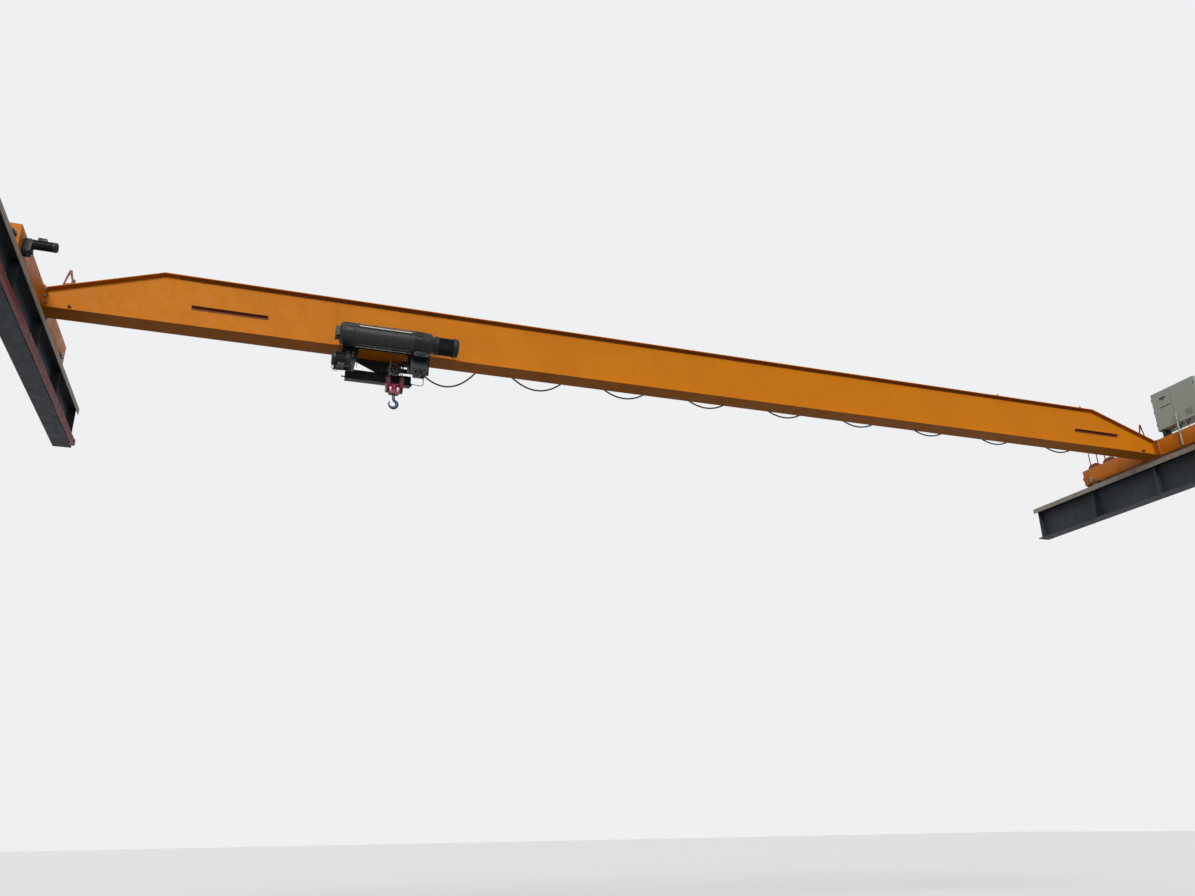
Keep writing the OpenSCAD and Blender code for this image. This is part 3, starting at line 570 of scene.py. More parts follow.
def painted(group, name, colour, shade, grime, dust, amounts, roughness, bump, shine):
    """A painted finish; amounts holds those of grime, dust and chips."""
    finish(name, group, {
        "Colour": (*colour, 1), "Shade": (*shade, 1), "Grime": (*grime, 1), "Dust": (*dust, 1),
        "Grime amount": amounts[0], "Dust amount": amounts[1], "Chip amount": amounts[2],
        "Roughness": roughness}, bump, Specular_IOR_Level=shine)


def metal(group, name, colour, scale, amount, grain, roughness, bump, metallic):
    """A steel finish; amount is that of scale, and grain says how fine the grain is along each axis."""
    finish(name, group, {
        "Colour": (*colour, 1), "Scale colour": (*scale, 1), "Scale amount": amount, "Grain": grain,
        "Roughness": roughness}, bump, Metallic=metallic)


def shaded(colour, factor):
    """A darker or lighter tone of a colour."""
    return [c * factor for c in colour]


def rope_finish():
    """Wire rope: strands laid round the rope, from its own UVs, with painted shade in the grooves between
    them, darkened by grease.
    """
    FINISH["rope_wire"], tree, shader = new_material("rope_wire")
    uv = node(tree, "ShaderNodeTexCoord").outputs["UV"]
    lay = stretched(tree, uv, (6.0, 84.0, 1.0))
    parts = node(tree, "ShaderNodeSeparateXYZ", {0: lay})
    turns = plus(tree, parts.outputs[0], parts.outputs[1])
    wave = node(tree, "ShaderNodeMath", {0: times(tree, turns, 2 * math.pi)}, operation="SINE").outputs[0]
    strand = ramp(tree, wave, -1.0, 1.0)
    place = node(tree, "ShaderNodeTexCoord").outputs["Object"]
    grease = noise(tree, place, 40.0, 4.0, 0.6)
    # Near black in the grooves between strands and the rope's grey on their crowns: painted shade in the
    # grooves
    tone = mixed(tree, ramp(tree, strand, 0.0, 0.7), (0.03, 0.027, 0.024, 1), (0.30, 0.29, 0.27, 1))
    dark = mixed(tree, ramp(tree, grease, 0.42, 0.7), tone, (0.06, 0.052, 0.045, 1))
    tree.links.new(dark, shader.inputs["Base Color"])
    tree.links.new(ramp(tree, grease, 0.3, 0.7, 0.32, 0.6), shader.inputs["Roughness"])
    shader.inputs["Metallic"].default_value = 0.75
    add_bump(tree, shader, strand, 0.6, 0.002)


class CRANE_OT_finishes(bpy.types.Operator):
    """Make every finish and give the solids theirs"""
    bl_idname = "crane.finishes"
    bl_label = "Finishes"

    def execute(self, context):
        colours = context.scene.crane_colours
        paint, steel, skin = weathered_paint(), worked_steel(), moulded_skin()
        girder, carriage, hoist, block = colours.girder, colours.carriage, colours.hoist, colours.block
        painted(paint, "girder_paint", girder, shaded(girder, 0.80), (0.16, 0.055, 0.012), (0.26, 0.13, 0.06),
                amounts=(0.14, 0.45, 0.4), roughness=0.5, bump=(0.10, 0.004), shine=0.10)
        # A darker red-brown than the girder's orange, for the web strips, brackets, hoops and flange conduit:
        # partly their own paint and partly painted shade, as these parts sit in shade
        painted(paint, "strip_paint_with_painted_shade", (0.22, 0.055, 0.014), (0.15, 0.038, 0.012), (0.05, 0.025, 0.015),
                (0.20, 0.12, 0.08), amounts=(0.5, 0.5, 0.3), roughness=0.5, bump=(0.10, 0.004), shine=0.25)
        painted(paint, "carriage_paint", carriage, shaded(carriage, 0.78), (0.09, 0.04, 0.02),
                (0.26, 0.15, 0.09), amounts=(0.5, 0.7, 0.6), roughness=0.5, bump=(0.10, 0.004), shine=0.16)
        painted(paint, "runway_paint", (0.040, 0.052, 0.066), (0.030, 0.038, 0.048), (0.06, 0.035, 0.02),
                (0.22, 0.21, 0.19), amounts=(0.6, 0.7, 0.6), roughness=0.55, bump=(0.12, 0.004), shine=0.25)
        painted(paint, "cap_paint", (0.36, 0.33, 0.27), (0.26, 0.24, 0.20), (0.10, 0.06, 0.035),
                (0.42, 0.39, 0.34), amounts=(0.7, 0.5, 0.8), roughness=0.55, bump=(0.12, 0.004), shine=0.25)
        painted(paint, "hoist_paint", hoist, shaded(hoist, 0.7), (0.012, 0.009, 0.007), (0.10, 0.095, 0.085),
                amounts=(0.5, 0.5, 0.5), roughness=0.42, bump=(0.15, 0.003), shine=0.35)
        painted(paint, "gear_paint", (0.0065, 0.0080, 0.0092), (0.005, 0.006, 0.007), (0.008, 0.006, 0.005),
                (0.07, 0.07, 0.065), amounts=(0.5, 0.25, 0.4), roughness=0.42, bump=(0.20, 0.003), shine=0.28)
        painted(paint, "drive_paint", (0.010, 0.013, 0.014), (0.007, 0.009, 0.010), (0.010, 0.008, 0.007),
                (0.08, 0.08, 0.075), amounts=(0.5, 0.3, 0.5), roughness=0.45, bump=(0.25, 0.003), shine=0.28)
        painted(paint, "block_paint", block, shaded(block, 0.7), (0.03, 0.015, 0.012), (0.22, 0.13, 0.11),
                amounts=(0.7, 0.3, 0.9), roughness=0.36, bump=(0.15, 0.003), shine=0.35)
        finish("panel_paint", skin, {
            "Colour": (0.014, 0.020, 0.030, 1), "Dust": (0.08, 0.085, 0.09, 1), "Dust amount": 0.4,
            "Skin size": 420.0, "Roughness": 0.42}, bump=(0.2, 0.001), Specular_IOR_Level=0.3)
        finish("cabinet_paint", skin, {
            "Colour": (*colours.cabinet, 1), "Dust": (0.30, 0.28, 0.24, 1), "Dust amount": 0.45,
            "Skin size": 380.0, "Roughness": 0.46}, bump=(0.2, 0.001))
        finish("buffer_rubber", skin, {
            "Colour": (0.014, 0.014, 0.014, 1), "Skin size": 90.0, "Roughness": 0.7}, bump=(0.5, 0.003))
        finish("cable_rubber", skin, {
            "Colour": (0.016, 0.016, 0.017, 1), "Dust": (0.12, 0.11, 0.10, 1), "Dust amount": 0.5,
            "Skin size": 160.0, "Roughness": 0.55}, bump=(0.3, 0.001))
        finish("conductor_red", skin, {
            "Colour": (0.22, 0.010, 0.014, 1), "Dust": (0.20, 0.09, 0.08, 1), "Dust amount": 0.3,
            "Skin size": 200.0, "Roughness": 0.45}, bump=(0.2, 0.001))
        metal(steel, "rail_steel", (0.42, 0.40, 0.38), (0.12, 0.07, 0.045), amount=0.75,
              grain=(80.0, 2.0, 80.0), roughness=0.32, bump=(0.3, 0.002), metallic=0.9)
        metal(steel, "wheel_steel", (0.33, 0.32, 0.31), (0.05, 0.045, 0.04), amount=0.8,
              grain=(50.0, 50.0, 50.0), roughness=0.38, bump=(0.3, 0.002), metallic=0.85)
        metal(steel, "drum_steel", (0.28, 0.28, 0.27), (0.04, 0.035, 0.03), amount=0.7,
              grain=(120.0, 10.0, 10.0), roughness=0.36, bump=(0.25, 0.002), metallic=0.9)
        metal(steel, "sheave_steel", (0.24, 0.23, 0.22), (0.04, 0.035, 0.03), amount=0.8,
              grain=(40.0, 40.0, 40.0), roughness=0.4, bump=(0.3, 0.002), metallic=0.85)
        metal(steel, "hook_steel", (0.022, 0.060, 0.110), (0.012, 0.024, 0.042), amount=0.7,
              grain=(30.0, 30.0, 30.0), roughness=0.38, bump=(0.35, 0.002), metallic=0.3)
        metal(steel, "carrier_steel", (0.06, 0.06, 0.06), (0.02, 0.02, 0.02), amount=0.7,
              grain=(40.0, 40.0, 40.0), roughness=0.45, bump=(0.3, 0.002), metallic=0.5)
        # A pale warm colour with little metal, which paints the glint of the girder's orange and the sky on
        # the front tie rod: painted reflection on a bright plated rod
        metal(steel, "rod_steel_with_painted_glint", (0.66, 0.60, 0.52), (0.34, 0.28, 0.21), amount=0.4,
              grain=(2.0, 80.0, 80.0), roughness=0.42, bump=(0.2, 0.001), metallic=0.35)
        metal(steel, "fastener_zinc", (0.30, 0.29, 0.27), (0.08, 0.06, 0.045), amount=0.75,
              grain=(70.0, 70.0, 70.0), roughness=0.36, bump=(0.25, 0.001), metallic=0.9)
        rope_finish()
        for one in frame["record"]["subparts"]:
            paint_nodes(one["material_slot"], one["node"])
        # The web strips and anchor brackets take the darker red-brown, which is partly painted shade
        paint_nodes("strip_paint_with_painted_shade", "web_strips", "anchor_brackets")
        return {"FINISHED"}


def seen_directly(tree):
    """1 for what the camera, a reflection or glass shows, 0 for light that falls on the crane."""
    path = node(tree, "ShaderNodeLightPath").outputs
    shown = node(tree, "ShaderNodeMath", {0: path["Is Camera Ray"], 1: path["Is Glossy Ray"]},
                 operation="MAXIMUM")
    return node(tree, "ShaderNodeMath", {0: shown.outputs[0], 1: path["Is Transmission Ray"]},
                operation="MAXIMUM").outputs[0]


# The camera's place, directions, sensor and lens, the floor, and the two lamps
CAMERA_PLACE = (3.43, -13.78, -6.0)
CAMERA_RIGHT = (0.9459, -0.3244, -0.0147)
CAMERA_FORWARD = (0.3072, 0.8798, 0.3625)
SENSOR_WIDTH, LENS, CLIP_END = 36, 29.372, 400
FLOOR_LOW, FLOOR_HIGH = (-90, -90, -7.8), (120, 120, -7.6)
FLOOR_SHOWN, FLOOR_LIT = (0.78, 0.78, 0.78, 1), (0.13, 0.12, 0.11, 1)
# Each lamp: its name, strength, the direction that it comes from, and its angle in degrees
LAMPS = (("key", 2.4, (-0.22, -0.82, 0.53), 24), ("rim", 0.5, (-0.2, 0.8, 0.55), 30))


class CRANE_OT_stage(bpy.types.Operator):
    """Make the floor, the light and the camera"""
    bl_idname = "crane.stage"
    bl_label = "Stage"

    def execute(self, context):
        scene = context.scene
        scene.view_settings.view_transform = "Standard"
        data = bpy.data.cameras.new("camera")
        data.sensor_width = SENSOR_WIDTH
        data.lens = LENS
        data.clip_end = CLIP_END
        camera = bpy.data.objects.new("camera", data)
        right = Vector(CAMERA_RIGHT).normalized()
        forward = Vector(CAMERA_FORWARD).normalized()
        up = right.cross(forward).normalized()
        turn = Matrix((right, up, -forward)).transposed().to_4x4()
        camera.matrix_world = Matrix.Translation(CAMERA_PLACE) @ turn
        scene.collection.objects.link(camera)
        scene.camera = camera

        bm = bmesh.new()
        add_box(bm, FLOOR_LOW, FLOOR_HIGH)
        mesh = bpy.data.meshes.new("floor")
        bm.to_mesh(mesh)
        bm.free()
        floor = bpy.data.objects.new("floor", mesh)
        scene.collection.objects.link(floor)
        plain, tree, shader = new_material("floor_plain")
        tree.links.new(mixed(tree, seen_directly(tree), FLOOR_LIT, FLOOR_SHOWN), shader.inputs["Base Color"])
        shader.inputs["Roughness"].default_value = 0.9
        mesh.materials.append(plain)

        world = bpy.data.worlds.new("studio")
        scene.world = world
        world.use_nodes = True
        tree = world.node_tree
        lit = tree.nodes["Background"]
        lit.inputs["Color"].default_value = (0.95, 0.97, 1.0, 1)
        lit.inputs["Strength"].default_value = 0.42
        seen = node(tree, "ShaderNodeBackground", {"Color": (0.86, 0.87, 0.88, 1), "Strength": 1.0})
        both = node(tree, "ShaderNodeMixShader",
                    {0: seen_directly(tree), 1: lit.outputs[0], 2: seen.outputs[0]})
        tree.links.new(both.outputs[0], tree.nodes["World Output"].inputs["Surface"])

        for name, energy, toward, angle in LAMPS:
            lamp = bpy.data.lights.new(name, "SUN")
            lamp.energy = energy
            lamp.angle = math.radians(angle)
            lamp_object = bpy.data.objects.new(name, lamp)
            lamp_object.matrix_world = Vector(toward).to_track_quat("Z", "Y").to_matrix().to_4x4()
            scene.collection.objects.link(lamp_object)
        return {"FINISHED"}


# Cords and ropes
# The cable runs from FIRST_X on the tow arm through clamps on its carriers to LAST_X, the track's end

LAST_X = 18.846
FIRST_X = 5.43
FIRST_LOOP = 1.12
LOOPS = 9
TRACK_Y = 0.35
CABLE_R = 0.013
CLAMP_Z = 1.3067
TOW_CABLE_Z = 0.7567
TOW_SAG = 0.4
LOOP_SAG = 0.47
PITCH = (LAST_X - FIRST_X - FIRST_LOOP) / (LOOPS - 1)


def carrier_x(k):
    """The place of a carrier along the girder, at rest."""
    return FIRST_X + FIRST_LOOP + (k - 1) * PITCH


def loop_path(k, steps=28):
    """The cable's line in one loop: the first starts at the tow arm, the last ends at the track's end."""
    path = []
    for j in range(steps + 1):
        t = j / steps
        dip = 1 - (2 * t - 1) ** 2
        if k == 0:
            rise = (CLAMP_Z - TOW_CABLE_Z) * t
            path.append((FIRST_X + t * FIRST_LOOP, TRACK_Y, TOW_CABLE_Z + rise - TOW_SAG * dip))
        else:
            path.append((carrier_x(k + t), TRACK_Y, CLAMP_Z - LOOP_SAG * (1 + 0.25 / k) * dip))
    return path


class CRANE_OT_festoon(bpy.types.Operator):
    """Make the festoon cable, one cord for each loop"""
    bl_idname = "crane.festoon"
    bl_label = "Festoon cable"

    def execute(self, context):
        for k in range(LOOPS):
            path = loop_path(k)
            bm = bmesh.new()
            add_tube(bm, path, CABLE_R, 12)
            obj = piece(f"festoon_loop_{k + 1}", bm, None, "cable_rubber", 60)
            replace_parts(obj, "festoon_cable")
            if k == LOOPS - 1:
                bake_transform(obj)
            else:
                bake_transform(obj)
        return {"FINISHED"}


def tangent_angle(radius):
    """The angle at which the rope leaves the drum for the first sheave."""
    run_y, run_z = -DRUM_Y, BLOCK_Z - DRUM_Z
    return math.atan2(run_z, run_y) + math.acos((radius + ROPE_LINE) / math.hypot(run_y, run_z))


def arc_in_x(x, y, z, radius, start, end, steps=20):
    """Points of an arc round an axis along the girder, with its angles in radians."""
    turns = (start + (end - start) * k / steps for k in range(steps + 1))
    return [(x, y + radius * math.cos(t), z + radius * math.sin(t)) for t in turns]


def arc_in_y(x, y, z, radius, start, end, steps=20):
    """Points of an arc round an axis across the girder, with its angles in radians."""
    turns = (start + (end - start) * k / steps for k in range(steps + 1))
    return [(x + radius * math.cos(t), y, z + radius * math.sin(t)) for t in turns]


class CRANE_OT_ropes(bpy.types.Operator):
    """Make the hoist rope: its turns on the drum, its falls and its half turns on the sheaves"""
    bl_idname = "crane.ropes"
    bl_label = "Hoist rope"

    def execute(self, context):
        leave = tangent_angle(ROPE_WOUND_R)
        xa, xb = HOOK_X - SHEAVE_GAP / 2, HOOK_X + SHEAVE_GAP / 2
        drum_point = (xa, DRUM_Y + ROPE_WOUND_R * math.cos(leave), DRUM_Z + ROPE_WOUND_R * math.sin(leave))
        first = arc_in_x(xa, 0, BLOCK_Z, ROPE_LINE, math.pi + leave, 2 * math.pi)
        over = arc_in_y(HOOK_X, ROPE_LINE, RETURN_Z, SHEAVE_GAP / 2, math.pi, 0)
        second = arc_in_x(xb, 0, BLOCK_Z, ROPE_LINE, 2 * math.pi, math.pi)
        end = (xb, -ROPE_LINE, ROPE_END_Z)
        falls = {"rope_fall_drum": (drum_point, first[0]), "rope_fall_a": (over[0], first[-1]),
                 "rope_fall_b": (over[-1], second[0]), "rope_fall_end": (end, second[-1])}
        for name, (top, bottom) in falls.items():
            bm = bmesh.new()
            add_tube(bm, (top, bottom), ROPE_R, 14)
            obj = piece(name, bm, None, "rope_wire", 60)
            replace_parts(obj, "hoist_ropes")
            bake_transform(obj)
        for name, path, body in (("rope_round_sheave_a", first, "hook_block"),
                                 ("rope_round_sheave_b", second, "hook_block"),
                                 ("rope_round_return_sheave", over, "trolley")):
            bm = bmesh.new()
            add_tube(bm, path, ROPE_R, 14)
            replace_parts(piece(name, bm, body, "rope_wire", 60), "hoist_ropes")
        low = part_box("rope_drum")[0]
        turns = context.scene.crane_sizes.rope_turns
        length = turns * ROPE_PITCH
        mesh = bpy.data.meshes.new("rope_start")
        mesh.from_pydata([(0, 0, 0)], [], [])
        values = {"Radius": ROPE_WOUND_R, "Length": length, "Turns": float(turns), "Rope radius": 0.0056,
                  "Start": (xa - length, DRUM_Y, DRUM_Z), "Finish": FINISH["drum_steel"]}
        assert xa - length > low.x
        run_tree("rope_turns", coil_tree(), mesh, values, "rope_drum", 60)

        bm = bmesh.new()
        add_turned(bm, (xb, -ROPE_LINE, ROPE_END_Z - 0.07), (0, 0, 1),
                   [(0, 0.009), (0.004, 0.012), (0.05, 0.016), (0.069, 0.017), (0.069, 0.0)], 24)
        piece("rope_socket", bm, "trolley", "hoist_paint")
        return {"FINISHED"}


def add_ring(bm, start, axis, profile, segments=40):
    """A turned shape whose profile closes on itself round a hole."""
    a, u, v = across(axis)
    rings = []
    for along, radius in profile:
        steps = (2 * math.pi * k / segments for k in range(segments))
        rings.append([bm.verts.new(Vector(start) + a * along + radius * (math.cos(t) * u + math.sin(t) * v))
                      for t in steps])
    for j in range(len(rings)):
        one, two = rings[j], rings[(j + 1) % len(rings)]
        for k in range(segments):
            m = (k + 1) % segments
            bm.faces.new([one[k], one[m], two[m], two[k]])


def add_bar(bm, one, two, radius, segments=16):
    """A round bar between two points."""
    run = Vector(two) - Vector(one)
    add_turned(bm, one, run, [(0, radius), (run.length, radius)], segments)


def add_boss(bm, start, axis, radius, height, segments=32):
    """A round boss or cap with a rounded rim."""
    rim = min(radius, height) * 0.3
    add_turned(bm, start, axis, [(0, radius), (height - rim, radius),
                                 (height - rim * 0.3, radius - rim * 0.3),
                                 (height, radius - rim), (height, 0.0)], segments)


def made(name, body, slot, shapes, soft=0.0, stands_for=(), smooth=38, material=None):
    """A piece of several closed shapes, with its sharp edges rounded by the width that soft gives."""
    makers = {"box": add_box, "plate": add_prism, "turned": add_turned, "ring": add_ring, "bar": add_bar,
              "boss": add_boss, "tube": add_tube}
    bm = bmesh.new()
    for kind, *values in shapes:
        makers[kind](bm, *values)
    if soft:
        soften(bm, soft)
    obj = piece(name, bm, body, material or slot, smooth)
    if stands_for:
        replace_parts(obj, *stands_for)
    return obj


def sector(y, z, inner, outer, start, end, steps=24):
    """The outline of a curved strip round a centre, with its angles in degrees."""
    turns = [math.radians(start + (end - start) * k / steps) for k in range(steps + 1)]
    return ([(y + outer * math.cos(t), z + outer * math.sin(t)) for t in turns]
            + [(y + inner * math.cos(t), z + inner * math.sin(t)) for t in reversed(turns)])


def bead_tree():
    """A tree that lays an uneven weld bead along the edges of a mesh."""
    tree, given, out = mesh_tree("Weld bead", [
        ("Leg", "length", 0.006), ("Ripple", "length", 0.03), ("Unevenness", "length", 0.002)])
    line = node(tree, "GeometryNodeMeshToCurve", {0: given["Places"]})
    steps = node(tree, "GeometryNodeResampleCurve",
                 {"Curve": line.outputs[0], "Length": given["Ripple"]}, mode="LENGTH")
    ripple = node(tree, "ShaderNodeTexNoise", {"Scale": 23.0})
    shift = node(tree, "ShaderNodeVectorMath", {0: ripple.outputs["Color"], 1: (0.5, 0.5, 0.5)},
                 operation="SUBTRACT")
    sized = node(tree, "ShaderNodeVectorMath", {0: shift.outputs[0], "Scale": given["Unevenness"]},
                 operation="SCALE")
    moved = node(tree, "GeometryNodeSetPosition", {"Geometry": steps.outputs[0], "Offset": sized.outputs[0]})
    return end_tree(tree, given, out, swept(tree, moved.outputs[0], 5, given["Leg"]))


def beads(name, lines, leg, ripple, body, slot):
    """Weld beads along several lines of points."""
    points, edges = [], []
    for line in lines:
        first = len(points)
        points += line
        edges += [(first + k, first + k + 1) for k in range(len(line) - 1)]
    mesh = bpy.data.meshes.new(name + "_places")
    mesh.from_pydata(points, edges, [])
    tree = bpy.data.node_groups.get("Weld bead") or bead_tree()
    values = {"Leg": leg, "Ripple": ripple, "Unevenness": leg * 0.35, "Finish": FINISH[slot]}
    return run_tree(name, tree, mesh, values, body, 80)


def box_between(one, two):
    """A box shape between any two opposite corners."""
    return ("box", tuple(map(min, zip(one, two))), tuple(map(max, zip(one, two))))


def bolts(name, places, width, body, material="fastener_zinc"):
    """Bolt heads on washers; width is across the head."""
    return repeat(name, "bolt", places, (width, width, width * 0.5), body, material)


# Runway

class CRANE_OT_runway(bpy.types.Operator):
    """Dress the runway: rail clips and their bolts, welds, and the ribs and clamps of the conductor bar"""
    bl_idname = "crane.runway"
    bl_label = "Runway details"

    def execute(self, context):
        pitch = context.scene.crane_sizes.clip_pitch
        count = int(6.3 / pitch)
        rows = [(k - count / 2) * pitch for k in range(count + 1)]
        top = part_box("runway_caps")[1].z
        sides = [(x, side, y) for x in (0.0, SPAN) for side in (-1, 1) for y in rows]
        repeat("rail_clips", "block", [((x + s * 0.061, y, top + 0.008), (0, 0, 1), (1, 0, 0))
                                       for x, s, y in sides],
               (0.066, 0.05, 0.016), "runway", "cap_paint")
        bolts("rail_clip_bolts", [((x + s * 0.074, y, top + 0.016), (0, 0, 1)) for x, s, y in sides],
              0.024, "runway")
        lines = []
        for x in (0.0, SPAN):
            for side in (-0.008, 0.008):
                lines += [[(x + side, -3.3, z), (x + side, 3.3, z)] for z in (0.022, 0.666)]
            for k in range(-2, 3):
                for side in (-1, 1):
                    lines.append([(x + side * 0.008, 1.6 * k - 0.007, 0.03),
                                  (x + side * 0.008, 1.6 * k - 0.007, 0.66)])
        beads("runway_welds", lines, 0.006, 0.06, "runway", "runway_paint")
        low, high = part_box("conductor_bar")
        x1 = high.x
        shapes = [("box", (x1 - 0.002, low.y + 0.02, low.z + z),
                   (x1 + 0.004, high.y - 0.02, low.z + z + 0.008))
                  for z in (0.006, 0.026, 0.046, 0.066)]
        made("conductor_ribs", "runway", "conductor_red", shapes, 0.0015)
        clamps = []
        for k in range(-4, 5):
            y = k * 0.78
            clamps += [("box", (x1 - 0.056, y - 0.022, high.z), (x1 + 0.008, y + 0.022, high.z + 0.005)),
                       ("box", (x1 + 0.004, y - 0.022, low.z - 0.002),
                        (x1 + 0.008, y + 0.022, high.z + 0.005))]
        made("conductor_clamps", "runway", "conductor_red", clamps, 0.001, material="carrier_steel")
        return {"FINISHED"}


# Girder

class CRANE_OT_girder(bpy.types.Operator):
    """Dress the girder: welds, joint bolts, a dark conduit under its top flange whose dark line is partly a
    painted shadow of the flange, lifting lugs and stop pads
    """
    bl_idname = "crane.girder"
    bl_label = "Girder details"

    def execute(self, context):
        left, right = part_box("girder_webs")[0].x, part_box("girder_webs")[1].x
        top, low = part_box("girder_top_flange")[1].z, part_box("girder_bottom_flange")[1].z
        drop = 0.012
        lines = []
        for y in (-WEB_Y - 0.002, WEB_Y + 0.002):
            lines.append([(left, y, low + 0.002), (right, y, low + 0.002)])
            lines.append([(left, y, CARRIAGE_TOP - drop), (KNEE_X[0], y, top - drop),
                          (KNEE_X[1], y, top - drop), (right, y, CARRIAGE_TOP - drop)])
        beads("girder_welds", lines, 0.006, 0.04, "bridge", "girder_paint")
        size = context.scene.crane_sizes.bolt
        heads = [((x, y, z), (d, 0, 0)) for x, d in ((left, 1), (right, -1))
                 for y in (-0.208, 0.208) for z in (0.85, 0.95, 1.05)]
        bolts("joint_bolts", heads, size, "bridge")
        # A dark conduit with clips just under the top flange's front lip; its dark line is partly a painted
        # shadow of the lip
        y, z = -WEB_Y - 0.010, top - 0.034
        shapes = [("bar", (KNEE_X[0] + 0.2, y, z), (KNEE_X[1] - 0.2, y, z), 0.009, 12)]
        shapes += [("box", (KNEE_X[0] + 0.5 + k * 1.45, y - 0.011, z - 0.014),
                    (KNEE_X[0] + 0.53 + k * 1.45, -WEB_Y, z + 0.014)) for k in range(12)]
        made("flange_conduit_and_painted_shadow", "bridge", "girder_paint", shapes, 0.001, material="strip_paint_with_painted_shade")
        shapes = []
        for x in (16.4, 18.4):
            lug = [(x - 0.05, top), (x + 0.05, top), (x + 0.02, top + 0.07), (x - 0.02, top + 0.07)]
            shapes += [("plate", lug, 1, y - 0.006, y + 0.006) for y in (-0.09, 0.09)]
        made("lifting_lugs", "bridge", "girder_paint", shapes, 0.002)
        pads = []
        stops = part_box("trolley_stops")
        for x, face in ((stops[0].x + 0.06, 1), (stops[1].x - 0.06, -1)):
            for y in (-0.146, 0.146):
                pads.append(("boss", (x, y, low + 0.04), (face, 0, 0), 0.024, 0.03, 24))
        made("stop_pads", "bridge", "buffer_rubber", pads)
        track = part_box("festoon_track")
        arms = []
        x = track[0].x + 0.1
        while x < track[1].x - 0.1:
            arms.append(((x + 0.02, TRACK_Y, track[1].z), (0, 0, 1)))
            x += 2.4
        bolts("track_bolts", arms, 0.019, "bridge")
        return {"FINISHED"}


class CRANE_OT_carriages(bpy.types.Operator):
    """Make the end carriages with rounded corners, axle caps, rail sweeps, buffers, brackets and hoops"""
    bl_idname = "crane.carriages"
    bl_label = "End carriages"

    def execute(self, context):
        caps, heads, sweeps, sweep_bolts, rubber, cups = [], [], [], [], [], []
        for node_name, x in (("left_end_carriage", 0.0), ("right_end_carriage", SPAN)):
            softened_node(node_name, node_name + "_box", "bridge", "carriage_paint", 0.007)
            inward = 1 if x == 0 else -1
            for end in (-1, 1):
                for side in (-1, 1):
                    if end < 0 and side == inward:
                        continue
                    centre = (x + side * 0.108, end * AXLE_Y, AXLE_Z)
                    caps.append(("boss", centre, (side, 0, 0), 0.052, 0.018))
                    heads += [(Vector(p) + Vector((side * 0.018, 0, 0)), d, t)
                              for p, d, t in ring_places(centre, (side, 0, 0), 0.036, 3)]
                y = end * CARRIAGE_END
                y0, y1 = sorted((y, y + end * 0.01))
                sweeps.append(("plate", [(x - 0.05, 0.757), (x + 0.05, 0.757), (x + 0.05, 0.86),
                                         (x + 0.03, 0.874), (x - 0.03, 0.874), (x - 0.05, 0.86)],
                               1, y0, y1))
                sweep_bolts += [((x + s * 0.03, y + end * 0.01, 0.84), (0, end, 0)) for s in (-1, 1)]
                cups.append(("turned", (x, y, BUFFER_Z), (0, end, 0),
                             [(0, 0.065), (0.009, 0.065), (0.012, 0.062), (0.012, 0.054), (0.026, 0.053),
                              (0.026, 0.0)]))
                rubber.append(("turned", (x, y + end * 0.02, BUFFER_Z), (0, end, 0),
                               [(0, 0.047), (0.030, 0.047), (0.040, 0.0495), (0.052, 0.048), (0.066, 0.038),
                                (0.070, 0.024), (0.070, 0.0)]))
        made("axle_caps", "bridge", "carriage_paint", caps, material="fastener_zinc")
        bolts("axle_cap_bolts", heads, 0.016, "bridge")
        made("rail_sweeps", "bridge", "carriage_paint", sweeps, 0.002)
        bolts("rail_sweep_bolts", sweep_bolts, 0.019, "bridge")
        made("buffer_cups", "bridge", "buffer_rubber", cups, stands_for=["carriage_buffers"],
             material="drive_paint")
        made("buffer_rubbers", "bridge", "buffer_rubber", rubber, stands_for=["carriage_buffers"])
        shapes = []
        hoops, hoop_half, hoop_rise, bend = [], 0.10, 0.50, 0.05
        for y in (1.06, 1.46):
            cheek = [(y + a, CARRIAGE_TOP + b) for a, b in (
                (-0.14, 0), (0.14, 0), (0.14, 0.04), (0.08, 0.09), (-0.08, 0.09), (-0.14, 0.04))]
            shapes += [("plate", cheek, 0, SPAN - 0.07 + d, SPAN - 0.062 + d) for d in (0.0, 0.06)]
            shapes += [("box", (SPAN - 0.068, y + s - 0.02, CARRIAGE_TOP),
                        (SPAN - 0.004, y + s + 0.02, CARRIAGE_TOP + 0.05))
                       for s in (-hoop_half, hoop_half)]
            corner = [(s * (hoop_half - bend + bend * math.cos(t)), hoop_rise - bend + bend * math.sin(t))
                      for s, turns in ((-1, range(0, 91, 15)), (1, range(90, -1, -15)))
                      for t in map(math.radians, turns)]
            line = [(-hoop_half, 0.02), *corner, (hoop_half, 0.02)]
            hoops.append(("tube", [(SPAN - 0.034, y + a, CARRIAGE_TOP + b) for a, b in line], 0.011, 12))
        # The brackets and hoops take the darker red-brown, which is partly painted shade
        made("carriage_brackets", "bridge", "carriage_paint", shapes, 0.002, material="strip_paint_with_painted_shade")
        made("carriage_hoops", "bridge", "carriage_paint", hoops, smooth=60, material="strip_paint_with_painted_shade")
        return {"FINISHED"}


